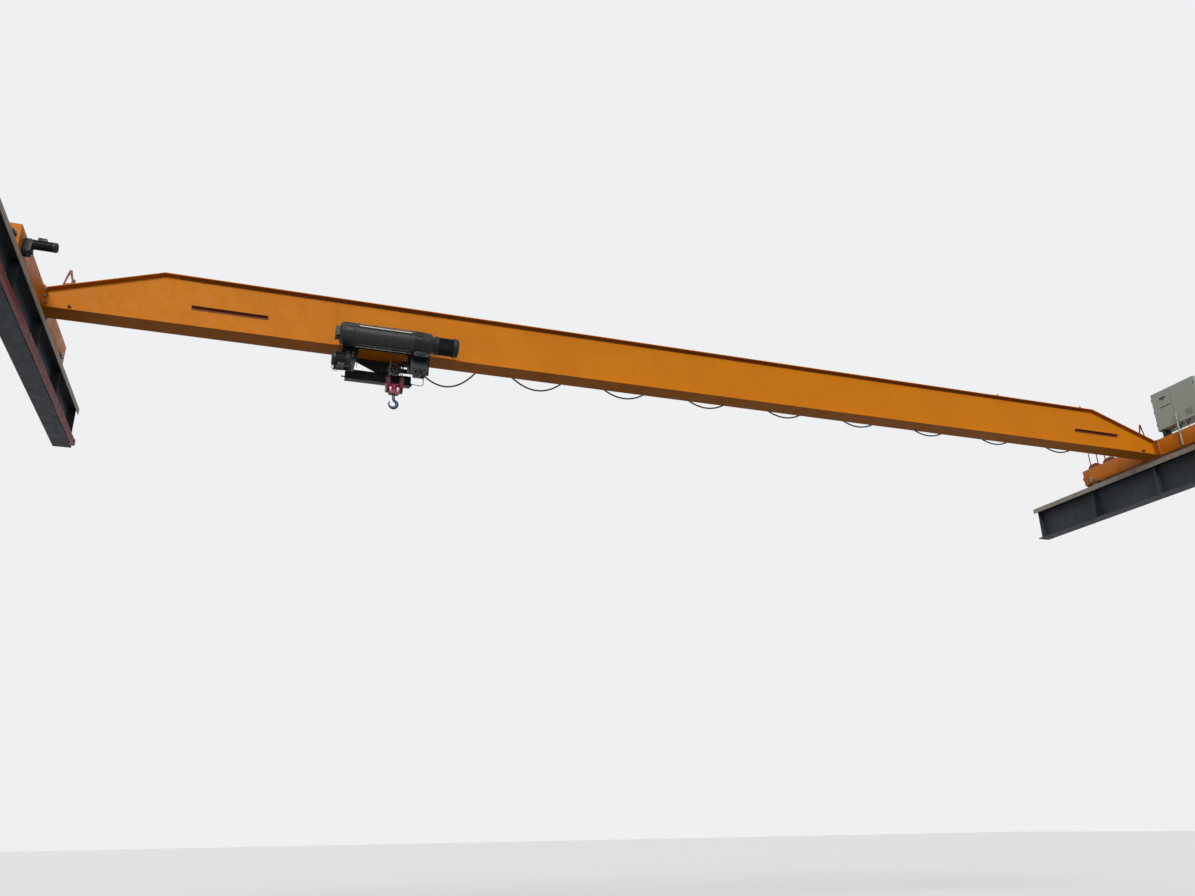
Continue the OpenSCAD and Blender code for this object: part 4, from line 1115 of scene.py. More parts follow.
class CRANE_OT_cabinet(bpy.types.Operator):
    """Make the control cabinet: shell, doors, lock, hinges, louvres, legs, conduit, glands and cables"""
    bl_idname = "crane.cabinet"
    bl_label = "Control cabinet"

    def execute(self, context):
        low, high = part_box("control_cabinet")
        base = CARRIAGE_TOP + 0.15
        x0, x1, y0, y1 = low.x, high.x, low.y, high.y
        middle = -0.735
        shell = [("box", (x0 + 0.014, y0, base), (x1, y1, high.z))]
        made("cabinet_shell", "bridge", "cabinet_paint", shell, 0.012, stands_for=["control_cabinet"])
        doors = [("box", (x0, a, base + 0.014), (x0 + 0.017, b, high.z - 0.014))
                 for a, b in ((y0 + 0.012, middle - 0.004), (middle + 0.004, y1 - 0.012))]
        made("cabinet_doors", "bridge", "cabinet_paint", doors, 0.005)
        fittings = [("box", (x0 - 0.012, -0.62, base + 0.63), (x0 + 0.002, -0.49, base + 0.648)),
                    ("box", (x0 - 0.006, -0.70, base + 0.45), (x0 + 0.002, -0.45, base + 0.459)),
                    ("boss", (x0, -0.555, base + 0.60), (-1, 0, 0), 0.014, 0.010)]
        for y in (y0 + 0.006, y1 - 0.006):
            fittings += [("bar", (x0 + 0.004, y, base + z), (x0 + 0.004, y, base + z + 0.06), 0.007, 12)
                         for z in (0.10, 0.37, 0.64)]
        made("cabinet_fittings", "bridge", "cabinet_paint", fittings, 0.002, material="drive_paint")
        slots = [((x0 + 0.15, y0, base + 0.56 + 0.022 * k), (0, -1, 0), (1, 0, 0)) for k in range(8)]
        slots += [((x0 - 0.001, -1.05, base + 0.10 + 0.022 * k), (-1, 0, 0), (0, 1, 0)) for k in range(6)]
        repeat("cabinet_louvres", "block", slots, (0.16, 0.010, 0.010), "bridge",
               "cabinet_paint")
        legs = [("box", (x0 + 0.01, y, CARRIAGE_TOP), (x0 + 0.19, y + 0.06, base + 0.003))
                for y in (y0 + 0.08, y1 - 0.14)]
        made("cabinet_legs", "bridge", "cabinet_paint", legs, 0.003, material="drive_paint")
        pipe_x, pipe_y = x0 - 0.018, middle - 0.03
        pipe = [("bar", (pipe_x, pipe_y, 0.80), (pipe_x, pipe_y, base + 0.19), 0.015, 20),
                ("bar", (pipe_x, pipe_y, base + 0.15), (pipe_x, pipe_y, base + 0.20), 0.020, 20)]
        pipe += [("box", (x0 - 0.037, pipe_y - 0.028, z), (x0 + 0.002, pipe_y + 0.028, z + 0.012))
                 for z in (0.86, 1.06, base + 0.05)]
        made("cabinet_conduit", "bridge", "cabinet_paint", pipe, 0.0015)
        glands = []
        for k in range(6):
            at = (x0 + 0.07 + 0.05 * (k % 2), y0 + 0.32 + 0.09 * k, base)
            glands.append(("turned", at, (0, 0, -1), [(0, 0.017), (0.012, 0.017), (0.014, 0.013),
                                                      (0.030, 0.011), (0.030, 0.0)], 12))
        made("cabinet_glands", "bridge", "cabinet_paint", glands, material="drive_paint")
        for k, reach in ((1, 0.05), (3, 0.08)):
            x, y = x0 + 0.12, y0 + 0.32 + 0.09 * k
            path = [(x, y, base - 0.025 - 0.115 * t) for t in (0, 0.15, 0.3)]
            path += [(x + 0.055 * (1 - math.cos(a)), y, base - 0.0595 - 0.055 * math.sin(a))
                     for a in (math.pi / 2 * j / 12 for j in range(1, 13))]
            path += [(x + 0.055 + step, y, path[-1][2]) for step in (0.02, reach)]
            cable = made(f"cabinet_cable_{k}", "bridge", "cable_rubber", [("tube", path, 0.0055, 10)],
                         smooth=60)
        return {"FINISHED"}


def motor_shapes(start, axis, length, radius, cowl):
    """A closed motor: flange, ribbed body's core, end bell, and fan cowl with a ringed grille."""
    end = length - cowl
    profile = [(0, radius * 1.06), (0.014, radius * 1.06), (0.017, radius * 0.98), (0.024, radius * 0.83),
               (end - 0.004, radius * 0.83), (end - 0.002, radius * 1.02), (length - 0.02, radius * 1.02),
               (length - 0.006, radius * 0.98), (length, radius * 0.90), (length, radius * 0.80)]
    for k in range(4):
        r = radius * (0.78 - 0.17 * k)
        profile += [(length - 0.007, r), (length - 0.007, r - radius * 0.10),
                    (length - 0.001, r - radius * 0.12)]
    profile.append((length - 0.001, 0.0))
    return [("turned", start, axis, profile)]


def fin_places(start, axis, length, radius, cowl, count):
    """Places for the fins round a motor's body, and their size."""
    a = Vector(axis).normalized()
    run = length - cowl - 0.028
    centre = Vector(start) + a * (0.022 + run / 2)
    return rib_places(centre, a, radius * 0.9, count), (run, 0.0045, radius * 0.2)


class CRANE_OT_travel_drives(bpy.types.Operator):
    """Make the two travel drives: gear cases and their bolts, motors with fins, and terminal boxes"""
    bl_idname = "crane.travel_drives"
    bl_label = "Travel drives"

    def execute(self, context):
        cases, motors, fins, heads, boxes = [], [], [], [], []
        low, middle, high, y = AXLE_Z, 0.9053, 0.9603, -AXLE_Y
        for side, x in ((1, 0.114), (-1, SPAN - 0.114)):
            outline = [(y + 0.072 * math.cos(math.radians(t)), high + 0.072 * math.sin(math.radians(t)))
                       for t in range(0, 181, 12)]
            outline += [(y - 0.072 * math.cos(math.radians(t)), low - 0.072 * math.sin(math.radians(t)))
                        for t in range(0, 181, 12)]
            small = [(y + (a - y) * 0.93, middle + (b - middle) * 0.95) for a, b in outline]
            for points, near, far in ((outline, 0.0, 0.062), (small, 0.062, 0.090)):
                cases.append(("plate", points, 0, *sorted((x + side * near, x + side * far))))
            cases.append(("boss", (x + side * 0.088, y, low), (side, 0, 0), 0.036, 0.02))
            heads += [((x + side * 0.062, y + (a - y) * 0.965, middle + (b - middle) * 0.975), (side, 0, 0))
                      for a, b in outline[1::4]]
            start = (x + side * 0.090, y, high)
            motors += motor_shapes(start, (side, 0, 0), 0.28, 0.0625, 0.05)
            places, size = fin_places(start, (side, 0, 0), 0.28, 0.0625, 0.05, 22)
            fins += places
            boxes.append(box_between((x + side * 0.14, y - 0.035, high + 0.045),
                                     (x + side * 0.24, y + 0.035, high + 0.092)))
        made("travel_gear_cases", "bridge", "drive_paint", cases, 0.006, stands_for=["travel_drives"])
        made("travel_motors", "bridge", "drive_paint", motors, stands_for=["travel_drives"])
        made("travel_terminal_boxes", "bridge", "drive_paint", boxes, 0.006)
        repeat("travel_motor_fins", "block", fins, size, "bridge", "drive_paint")
        bolts("travel_case_bolts", heads, 0.012, "bridge")
        return {"FINISHED"}


# Hoist

class CRANE_OT_drum_housing(bpy.types.Operator):
    """Dress the drum: hoops, lips, screws and a pin on its cover, tie rods, and the housing at its far end"""
    bl_idname = "crane.drum_housing"
    bl_label = "Drum housing"

    def execute(self, context):
        low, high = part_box("drum_cover")
        x0, x1 = low.x, high.x
        shapes = [("plate", sector(DRUM_Y, DRUM_Z, COVER_R, COVER_FACE_R, 101, 249), 0, x, x + w)
                  for x, w in ((x0, 0.035), (x0 + 0.255, 0.02), (x0 + 0.53, 0.02), (x1 - 0.035, 0.035))]
        lips = [sector(DRUM_Y, DRUM_Z, 0.166, 0.183, a - 0.8, a + 0.8, 1) for a in (100.5, 249.5)]
        shapes += [("plate", lip, 0, x0 + 0.002, x1 - 0.002) for lip in lips]
        front, reach = 160, 0.193
        lug = sector(DRUM_Y, DRUM_Z, 0.168, reach + 0.010, front - 3.5, front + 3.5, 6)
        shapes += [("plate", lug, 0, x, x + 0.012) for x in (x0 + 0.002, x1 - 0.014)]
        made("cover_hoops", "trolley", "hoist_paint", shapes, 0.0012)
        centre = Vector((0, DRUM_Y, DRUM_Z))
        aside = Vector((0, math.cos(math.radians(front)), math.sin(math.radians(front)))) * reach
        ends = [centre + aside + Vector((x, 0, 0)) for x in (x0 + 0.014, x1 - 0.014)]
        # The front tie rod's pale warm finish is partly painted reflection of the girder and the sky
        made("front_tie_rod", "trolley", "hoist_paint", [("bar", *ends, 0.0085, 16)], material="rod_steel_with_painted_glint")
        rods, nuts, rivets = [], [], []
        for a in (70, 94, 280):
            t = math.radians(a)
            offset = Vector((0, COVER_R * math.cos(t), COVER_R * math.sin(t)))
            ends = [centre + offset + Vector((x, 0, 0)) for x in (x0 + 0.001, x1 - 0.001)]
            rods.append(("bar", *ends, 0.0082, 16))
            nuts += [(ends[0], (1, 0, 0)), (ends[1], (-1, 0, 0))]
        made("tie_rod_sleeves", "trolley", "hoist_paint", rods, material="fastener_zinc")
        bolts("tie_rod_nuts", nuts, 0.026, "trolley")
        for x in (x0 + 0.017, x0 + 0.265, x0 + 0.54, x1 - 0.017):
            for a in (108, 150, 195, 240):
                t = math.radians(a)
                out = Vector((0, math.cos(t), math.sin(t)))
                rivets.append((centre + Vector((x, 0, 0)) + out * COVER_FACE_R, out))
        bolts("cover_screws", rivets, context.scene.crane_sizes.screw, "trolley",
              "hoist_paint")
        t = math.radians(252)
        pin = (x0 + 0.62, DRUM_Y + COVER_R * math.cos(t), DRUM_Z + COVER_R * math.sin(t))
        made("cover_pin", "trolley", "hoist_paint",
             [("turned", pin, (0, 0, -1), [(-0.02, 0.007), (0.010, 0.007), (0.011, 0.013), (0.024, 0.013),
                                           (0.025, 0.007), (0.040, 0.007), (0.041, 0.014), (0.052, 0.014),
                                           (0.054, 0.0)], 12)])
        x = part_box("drum_end_housing")[1].x
        shell = [(0, 0.176), (0.016, 0.179), (0.020, 0.179), (0.024, 0.1745), (0.150, 0.1745),
                 (0.155, 0.179), (0.168, 0.179), (0.172, 0.174), (0.190, 0.170), (0.206, 0.158),
                 (0.216, 0.138), (0.220, 0.115), (0.220, 0.0)]
        made("end_housing", "trolley", "hoist_paint",
             [("turned", (x, DRUM_Y, DRUM_Z), (-1, 0, 0), shell, 64)], stands_for=["drum_end_housing"])
        end = x - 0.22
        ribs = rib_places(Vector((x - 0.087, DRUM_Y, DRUM_Z)), (1, 0, 0), 0.176, 12, 0.26)
        repeat("end_housing_ribs", "block", ribs, (0.128, 0.008, 0.010), "trolley",
               "hoist_paint")
        made("switch_box", "trolley", "hoist_paint",
             [("box", (end - 0.044, DRUM_Y - 0.084, DRUM_Z - 0.074),
               (end + 0.002, DRUM_Y + 0.084, DRUM_Z + 0.074)),
              ("box", (end - 0.060, DRUM_Y - 0.090, DRUM_Z - 0.080),
               (end - 0.043, DRUM_Y + 0.090, DRUM_Z + 0.080)),
              ("boss", (end - 0.022, DRUM_Y - 0.03, DRUM_Z - 0.072), (0, 0, -1), 0.015, 0.03)],
             0.004, stands_for=["drum_end_housing"])
        bolts("switch_box_screws", [((end - 0.060, DRUM_Y + a, DRUM_Z + b), (-1, 0, 0))
                                    for a in (-0.076, 0.076) for b in (-0.066, 0.066)],
              0.012, "trolley")
        return {"FINISHED"}


class CRANE_OT_gear_case(bpy.types.Operator):
    """Make the hoist's gear case as a casting: flanges, ribs, bolt bosses, side and lower covers"""
    bl_idname = "crane.gear_case"
    bl_label = "Hoist gear case"

    def execute(self, context):
        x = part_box("hoist_gearbox")[0].x
        profile = [(0, 0.179), (0.018, 0.179), (0.021, 0.171), (0.128, 0.171), (0.131, 0.179), (0.160, 0.179),
                   (0.163, 0.173), (0.238, 0.173), (0.262, 0.170), (0.278, 0.161), (0.287, 0.148),
                   (0.290, 0.134), (0.334, 0.129), (0.338, 0.142), (0.360, 0.142), (0.360, 0.0)]
        made("gear_case_drum_side", "trolley", "hoist_paint",
             [("turned", (x, DRUM_Y, DRUM_Z), (1, 0, 0), profile, 64)],
             stands_for=["hoist_gearbox"], material="gear_paint")
        ribs = rib_places(Vector((x + 0.0745, DRUM_Y, DRUM_Z)), (1, 0, 0), 0.173, 14, 0.2)
        repeat("gear_case_ribs", "block", ribs, (0.108, 0.010, 0.012), "trolley", "gear_paint")
        round_rim = ring_places((x, DRUM_Y, DRUM_Z), (1, 0, 0), 0.170, 10)
        bosses = [("turned", (x + 0.124, p.y, p.z), (1, 0, 0),
                   [(0, 0.013), (0.042, 0.013), (0.044, 0.011), (0.044, 0)], 16) for p, _, _ in round_rim]
        made("gear_case_bosses", "trolley", "hoist_paint", bosses, material="gear_paint")
        heads = [((x + 0.168, p.y, p.z), (1, 0, 0)) for p, _, _ in round_rim]
        heads += ring_places((x + 0.338, DRUM_Y, DRUM_Z), (-1, 0, 0), 0.136, 8, 0.3)
        box_face, foot_face = -0.500, -0.370
        made("gear_case_block", "trolley", "hoist_paint",
             [("box", (x + 0.02, box_face, 0.640), (x + 0.24, -PLATE_FACE, 0.875)),
              ("box", (x, foot_face, 0.460), (x + 0.258, -PLATE_FACE, 0.720))],
             0.012, stands_for=["hoist_gearbox"], material="gear_paint")
        covers = [("boss", (x + 0.13, box_face + 0.004, 0.735), (0, -1, 0), 0.082, 0.016, 40),
                  ("box", (x + 0.03, foot_face - 0.010, 0.480), (x + 0.228, foot_face + 0.004, 0.625)),
                  ("boss", (x + 0.13, -0.30, 0.464), (0, 0, -1), 0.060, 0.016, 32),
                  ("boss", (x + 0.205, box_face + 0.004, 0.845), (0, -1, 0), 0.014, 0.022, 12)]
        made("gear_case_covers", "trolley", "hoist_paint", covers, 0.003, material="drive_paint")
        heads += ring_places((x + 0.13, box_face - 0.012, 0.735), (0, -1, 0), 0.068, 6)
        heads += [((x + a, foot_face - 0.010, b), (0, -1, 0)) for a in (0.045, 0.129, 0.213)
                  for b in (0.494, 0.611)]
        heads += ring_places((x + 0.13, -0.30, 0.448), (0, 0, -1), 0.048, 6)
        bolts("gear_case_bolts", heads, context.scene.crane_sizes.screw, "trolley",
              "drive_paint")
        return {"FINISHED"}


class CRANE_OT_hoist_motor(bpy.types.Operator):
    """Make the hoist motor: flange, fins, brake and fan cowl, terminal box and release lever"""
    bl_idname = "crane.hoist_motor"
    bl_label = "Hoist motor"

    def execute(self, context):
        low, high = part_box("hoist_motor")
        start, length, cowl = Vector((low.x, DRUM_Y, DRUM_Z)), high.x - low.x, 0.085
        made("hoist_motor_body", "trolley", "drive_paint",
             motor_shapes(start, (1, 0, 0), length, 0.139, cowl), stands_for=["hoist_motor"])
        fins, size = fin_places(start, (1, 0, 0), length, 0.134, cowl, context.scene.crane_sizes.motor_fins)
        repeat("hoist_motor_fins", "block", fins, size, "trolley", "drive_paint")
        hoops = [("ring", (x, DRUM_Y, DRUM_Z), (1, 0, 0),
                  [(0, 0.140), (0, 0.1445), (w, 0.1445), (w, 0.140)], 56)
                 for x, w in ((high.x - cowl + 0.004, 0.010), (high.x - 0.034, 0.006))]
        made("cowl_hoops", "trolley", "drive_paint", hoops)
        made("hoist_terminal_box", "trolley", "drive_paint",
             [("box", (low.x + 0.066, DRUM_Y + 0.09, 0.821), (low.x + 0.194, DRUM_Y + 0.172, 0.929)),
              ("box", (low.x + 0.060, DRUM_Y + 0.170, 0.815), (low.x + 0.200, DRUM_Y + 0.185, 0.935)),
              ("boss", (low.x + 0.10, DRUM_Y + 0.13, 0.824), (0, 0, -1), 0.014, 0.03),
              ("boss", (low.x + 0.15, DRUM_Y + 0.13, 0.824), (0, 0, -1), 0.014, 0.03)], 0.004,
             stands_for=["hoist_motor"])
        tip = (high.x - 0.003, DRUM_Y, DRUM_Z)
        made("release_lever", "trolley", "drive_paint",
             [("turned", tip, (1, 0, 0), [(0, 0.006), (0.018, 0.006), (0.019, 0.011), (0.030, 0.012),
                                          (0.033, 0.009), (0.033, 0)], 16)],
             material="fastener_zinc")
        heads = ring_places((low.x + 0.014, DRUM_Y, DRUM_Z), (1, 0, 0), 0.140, 8, 0.3)
        heads += [((high.x - 0.06, DRUM_Y + 0.142 * math.cos(t), DRUM_Z + 0.142 * math.sin(t)),
                   (0, math.cos(t), math.sin(t)))
                  for t in (0.5, 2.1, 3.6, 5.2)]
        bolts("hoist_motor_bolts", heads, 0.013, "trolley", "drive_paint")
        return {"FINISHED"}


class CRANE_OT_trolley_frame(bpy.types.Operator):
    """Dress the trolley's frame: rounded yokes and beams, bolts, nuts, ribs, welds and the tow clamp"""
    bl_idname = "crane.trolley_frame"
    bl_label = "Trolley frame"

    def execute(self, context):
        softened_node("trolley_yokes", "yoke_tubes", "trolley", "hoist_paint", 0.005)
        softened_node("reeving_beam", "reeving_beam_bar", "trolley", "hoist_paint", 0.003)
        softened_node("tow_arm", "tow_arm_bar", "trolley", "hoist_paint", 0.003)
        low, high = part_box("trolley_yokes")
        heads = []
        for x in (low.x, high.x - 0.12):
            for a in (0.025, 0.095):
                for z in (0.635, 0.685):
                    heads.append(((x + a, PLATE_FACE, z), (0, 1, 0)))
                    if x == low.x:
                        heads.append(((x + a, -PLATE_FACE, z), (0, -1, 0)))
        heads += [((x, s * PLATE_FACE, z), (0, s, 0)) for s in (-1, 1) for x in (4.62, 4.82, 5.02)
                  for z in (0.80, 0.925)]
        bolts("frame_bolts", heads, 0.024, "trolley")
        bolts("trolley_axle_nuts", [((x, PLATE_FACE, 0.8743), (0, 1, 0)) for x in (4.3, 5.2)], 0.046,
              "trolley")
        shapes = [("plate", [(PLATE_FACE, 0.66), (PLATE_FACE, 0.93), (0.262, 0.93), (0.262, 0.86),
                             (0.239, 0.68)], 0, x, x + 0.008)
                  for x in (4.40, 5.10)]
        shapes.append(("box", (4.16, 0.223, 0.938), (5.44, 0.231, 0.950)))
        made("plate_ribs", "trolley", "hoist_paint", shapes, 0.0015)
        clamp = [("ring", (FIRST_X - 0.012, TRACK_Y, TOW_CABLE_Z), (1, 0, 0),
                  [(0, 0.0134), (0, 0.0165), (0.024, 0.0165), (0.024, 0.0134)], 24)]
        made("tow_clamp", "trolley", "hoist_paint", clamp, material="fastener_zinc")
        lines = []
        for x in (low.x, low.x + 0.12, high.x - 0.12, high.x):
            for y in (-0.213, 0.213):
                lines.append([(x, y, 0.612), (x, y, 0.708)])
        beads("yoke_welds", lines, 0.004, 0.012, "trolley", "hoist_paint")
        return {"FINISHED"}


def curve_between(start, leave, end, arrive, steps):
    """Points of a smooth curve that leaves its start and comes to its end along two given arms."""
    corners = (Vector(start), Vector(start) + Vector(leave), Vector(end) + Vector(arrive), Vector(end))
    points = []
    for k in range(steps + 1):
        t = k / steps
        weights = ((1 - t) ** 3, 3 * t * (1 - t) ** 2, 3 * t * t * (1 - t), t ** 3)
        points.append(tuple(sum((w * c for w, c in zip(weights, corners)), Vector())))
    return points


class CRANE_OT_trolley_drive(bpy.types.Operator):
    """Make the trolley's drive: gear case on the front plate's leg, motor, fins, terminal box and cable"""
    bl_idname = "crane.trolley_drive"
    bl_label = "Trolley drive"

    def execute(self, context):
        low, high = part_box("trolley_drive")
        x, y, z, r = (low.x + high.x) / 2, low.y + 0.105, (low.z + high.z) / 2, 0.105
        made("trolley_gear_case", "trolley", "drive_paint",
             [("turned", (x, -PLATE_FACE, z), (0, -1, 0),
               [(0, 0.100), (0.012, 0.100), (0.014, 0.092), (0.05, 0.090), (0.07, 0.088), (0.098, 0.07),
                (0.098, 0)], 48),
              ("box", (x - 0.055, y, z - 0.055), (x + 0.055, -0.26, z + 0.055))], 0.006,
             stands_for=["trolley_drive"])
        body = [(0, 0.06), (0, r * 0.80), (0.006, r * 0.93), (0.016, r * 0.985), (0.050, r), (0.054, r),
                (0.058, r * 0.86), (0.196, r * 0.86), (0.200, r * 0.99), (0.250, r * 0.985),
                (0.262, r * 0.94), (0.269, r * 0.82), (0.262, r * 0.74), (0.262, r * 0.5),
                (0.268, r * 0.46), (0.268, 0)]
        made("trolley_motor", "trolley", "drive_paint", [("turned", (low.x, y, z), (1, 0, 0), body)],
             stands_for=["trolley_drive"])
        centre = Vector((low.x + 0.127, y, z))
        fins = rib_places(centre, (1, 0, 0), r * 0.915, 26)
        repeat("trolley_motor_fins", "block", fins, (0.14, 0.0045, r * 0.17), "trolley",
               "drive_paint")
        made("trolley_terminal_box", "trolley", "drive_paint",
             [("box", (x - 0.05, y - 0.075, z - r - 0.022), (x + 0.05, y + 0.02, z - r * 0.80)),
              ("box", (x - 0.055, y - 0.080, z - r - 0.032), (x + 0.055, y + 0.025, z - r - 0.020))], 0.004)
        flange = ring_places((x, -0.239, z), (0, -1, 0), 0.094, 6, 0.5)
        heads = [((p.x, -0.239, p.z), (0, -1, 0)) for p, _, _ in flange]
        bolts("trolley_drive_bolts", heads, 0.013, "trolley", "drive_paint")
        out, bend, bottom = x - 0.018, 0.05, z - r - 0.026
        path = [(out, y, bottom), (out, y, bottom - 0.006)]
        path += [(out - bend + bend * math.cos(t), y, bottom - 0.012 - bend * math.sin(t))
                 for t in (math.pi * k / 20 for k in range(21))]
        path += [(out - 2 * bend, y, bottom), (out - 2 * bend, y, z - r + 0.006)]
        lead = made("trolley_motor_lead", "trolley", "cable_rubber", [("tube", path, 0.006, 10)], smooth=60)
        return {"FINISHED"}


class CRANE_OT_panel_box(bpy.types.Operator):
    """Make the trolley's panel: shell, lid, screws, glands, hangers, and its cable to the gear case"""
    bl_idname = "crane.panel_box"
    bl_label = "Trolley panel"

    def execute(self, context):
        low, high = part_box("trolley_panel")
        y0, y1, z0, z1 = 0.257, high.y, low.z, 0.640
        x0, x1 = low.x, high.x
        made("panel_shell", "trolley", "panel_paint",
             [("box", (x0 + 0.004, y0 + 0.014, z0 + 0.004), (x1 - 0.004, y1, z1))], 0.008,
             stands_for=["trolley_panel"])
        made("panel_lid", "trolley", "panel_paint",
             [("box", (x0, y0, z0), (x1, y0 + 0.018, z1 - 0.002)),
              ("box", (x0 + 0.02, y0 - 0.003, z0 + 0.02), (x1 - 0.02, y0 + 0.002, z1 - 0.022))], 0.004)
        made("panel_hangers", "trolley", "panel_paint",
             [("box", (x, PLATE_FACE, 0.612), (x + 0.02, y0 + 0.02, z1)) for x in (4.31, 5.0)], 0.002,
             stands_for=["trolley_panel"], material="hoist_paint")
        heads = [((x0 + 0.05 + k * (x1 - x0 - 0.1) / 6, y0, z), (0, -1, 0)) for k in range(7)
                 for z in (z0 + 0.010, z1 - 0.012)]
        bolts("panel_screws", heads, 0.012, "trolley", "drive_paint")
        glands = [("turned", (x1 - 0.004, y0 + 0.05 + 0.04 * k, z0 + 0.05), (1, 0, 0),
                   [(0, 0.015), (0.010, 0.015), (0.012, 0.011), (0.030, 0.009), (0.030, 0)], 12)
                  for k in range(3)]
        glands += [("turned", (x0 + 0.004, y0 + 0.06, z0 + 0.05), (-1, 0, 0),
                    [(0, 0.015), (0.010, 0.015), (0.012, 0.008), (0.035, 0.008), (0.036, 0.014),
                     (0.052, 0.014), (0.054, 0)], 12)]
        made("panel_glands", "trolley", "panel_paint", glands, material="drive_paint")
        path = curve_between((x1 + 0.024, y0 + 0.05, z0 + 0.05), (0.22, 0, -0.01), (5.36, -0.28, 0.45),
                             (0, 0, -0.22), 30)
        lead = made("panel_lead", "trolley", "cable_rubber", [("tube", path, 0.006, 10)], smooth=60)
        return {"FINISHED"}


class CRANE_OT_hook_block(bpy.types.Operator):
    """Make the hook block: open cheeks with spokes, rope guards, crosshead, swivel cap, nuts and bolts"""
    bl_idname = "crane.hook_block"
    bl_label = "Hook block"

    def execute(self, context):
        plates, guards = [], []
        for x in (HOOK_X - SHEAVE_GAP / 2, HOOK_X + SHEAVE_GAP / 2):
            for side in (-1, 1):
                near = x + side * 0.018
                start, thick = (near, 0, BLOCK_Z), 0.008
                rim = [(0, 0.088), (0, 0.127), (thick, 0.127), (thick, 0.088)]
                hub = [(0, 0.048), (thick, 0.048), (thick, 0.036), (0.012, 0.034), (0.012, 0)]
                plates += [("ring", start, (side, 0, 0), rim, 56), ("turned", start, (side, 0, 0), hub, 40)]
                for a in (90, 210, 330):
                    t = math.radians(a)
                    c, s = math.cos(t), math.sin(t)
                    corners = ((0.04, -0.022), (0.094, -0.030), (0.094, 0.030), (0.04, 0.022))
                    plates.append(("plate", [(r * c - w * s, BLOCK_Z + r * s + w * c) for r, w in corners], 0,
                                   *sorted((near, near + side * thick * 0.9))))
            guards.append(("plate", sector(0, BLOCK_Z, 0.1215, 0.127, 196, 344, 32), 0, x - 0.019, x + 0.019))
        made("block_cheeks", "hook_block", "block_paint", plates, 0.0015, stands_for=["block_frame"])
        made("block_guards", "hook_block", "block_paint", guards, 0.001, stands_for=["block_frame"])
        made("block_crosshead", "hook_block", "block_paint",
             [("plate", [(HOOK_X - 0.083, 0.243), (HOOK_X - 0.083, 0.20), (HOOK_X - 0.055, 0.183),
                         (HOOK_X + 0.055, 0.183), (HOOK_X + 0.083, 0.20), (HOOK_X + 0.083, 0.243)],
               1, -0.045, 0.045),
              ("bar", (HOOK_X - 0.082, 0, BLOCK_Z), (HOOK_X + 0.082, 0, BLOCK_Z), 0.026, 32)],
             0.006, stands_for=["block_frame"])
        made("swivel_cap", "hook_block", "block_paint",
             [("ring", (HOOK_X, 0, 0.241), (0, 0, 1),
               [(0, 0.037), (0, 0.046), (0.012, 0.046), (0.016, 0.043), (0.080, 0.043), (0.080, 0.037)], 40)])
        nuts = [("turned", (HOOK_X + s * 0.124, 0, BLOCK_Z), (s, 0, 0),
                 [(0, 0.031), (0.010, 0.031), (0.013, 0.028), (0.013, 0.018), (0.022, 0.018),
                  (0.024, 0.016), (0.024, 0)], 6)
                for s in (-1, 1)]
        made("block_axle_nuts", "hook_block", "block_paint", nuts, material="fastener_zinc")
        heads = []
        for s in (-1, 1):
            heads += ring_places((HOOK_X + s * 0.125, 0, BLOCK_Z), (s, 0, 0), 0.112, 6, 0.52)
            heads += [((HOOK_X + s * 0.055, t * 0.045, 0.222), (0, t, 0)) for t in (-1, 1)]
        bolts("block_bolts", heads, 0.014, "hook_block")
        return {"FINISHED"}


class CRANE_OT_hook(bpy.types.Operator):
    """Make the forged hook: shank, neck, tapered bowl and tip, with its nut over the crosshead"""
    bl_idname = "crane.hook"
    bl_label = "Hook"

    def execute(self, context):
        x, arc, z, top = 4.9752, 0.0575, 0.0184, 0.121
        path = [(HOOK_X, 0.1825), (HOOK_X, 0.165), (HOOK_X, 0.145)]
        radii = [0.0205, 0.0215, 0.0225]
        for k in range(9):
            t = math.radians(180 + 60 * k / 8)
            path.append((HOOK_X + arc + arc * math.cos(t), top + arc * math.sin(t)))
            radii.append(0.0225)
        girths = ((60, 0.0225), (20, 0.0258), (-20, 0.0278), (-60, 0.0268), (-100, 0.0238), (-140, 0.0182),
                  (-175, 0.0128), (-195, 0.0105))
        for k in range(52):
            a = 60 - 5 * k
            (a0, r0), (a1, r1) = next(pair for pair in zip(girths, girths[1:]) if pair[1][0] <= a)
            radius = r0 + (r1 - r0) * (a0 - a) / (a0 - a1)
            t = math.radians(a)
            reach = arc + 0.0225 - radius
            path.append((x + reach * math.cos(t), z + reach * math.sin(t)))
            radii.append(radius)
        t = math.radians(-195)
        tip, way = path[-1], (math.sin(t), -math.cos(t))
        for step, radius in ((0.010, 0.0098), (0.020, 0.0086), (0.028, 0.0072), (0.034, 0.005),
                             (0.037, 0.002)):
            path.append((tip[0] + way[0] * step, tip[1] + way[1] * step))
            radii.append(radius)
        bm = bmesh.new()
        add_tube(bm, [(a, 0, b) for a, b in path], radii, 24, ((0, 1, 0), 0.86))
        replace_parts(piece("forged_hook", bm, "hook", "hook_steel", 50), "hook")
        nut = [("turned", (HOOK_X, 0, 0.2435), (0, 0, 1),
                [(0, 0.030), (0.003, 0.034), (0.024, 0.034), (0.0275, 0.030), (0.0275, 0)], 6),
               ("bar", (HOOK_X, 0, 0.182), (HOOK_X, 0, 0.275), 0.0198, 32),
               ("turned", (HOOK_X, 0, 0.166), (0, 0, 1),
                [(0, 0.0235), (0.003, 0.026), (0.0155, 0.026), (0.0165, 0.024), (0.0165, 0)], 32)]
        made("hook_nut", "hook", "hook_steel", nut, stands_for=["hook"])
        return {"FINISHED"}


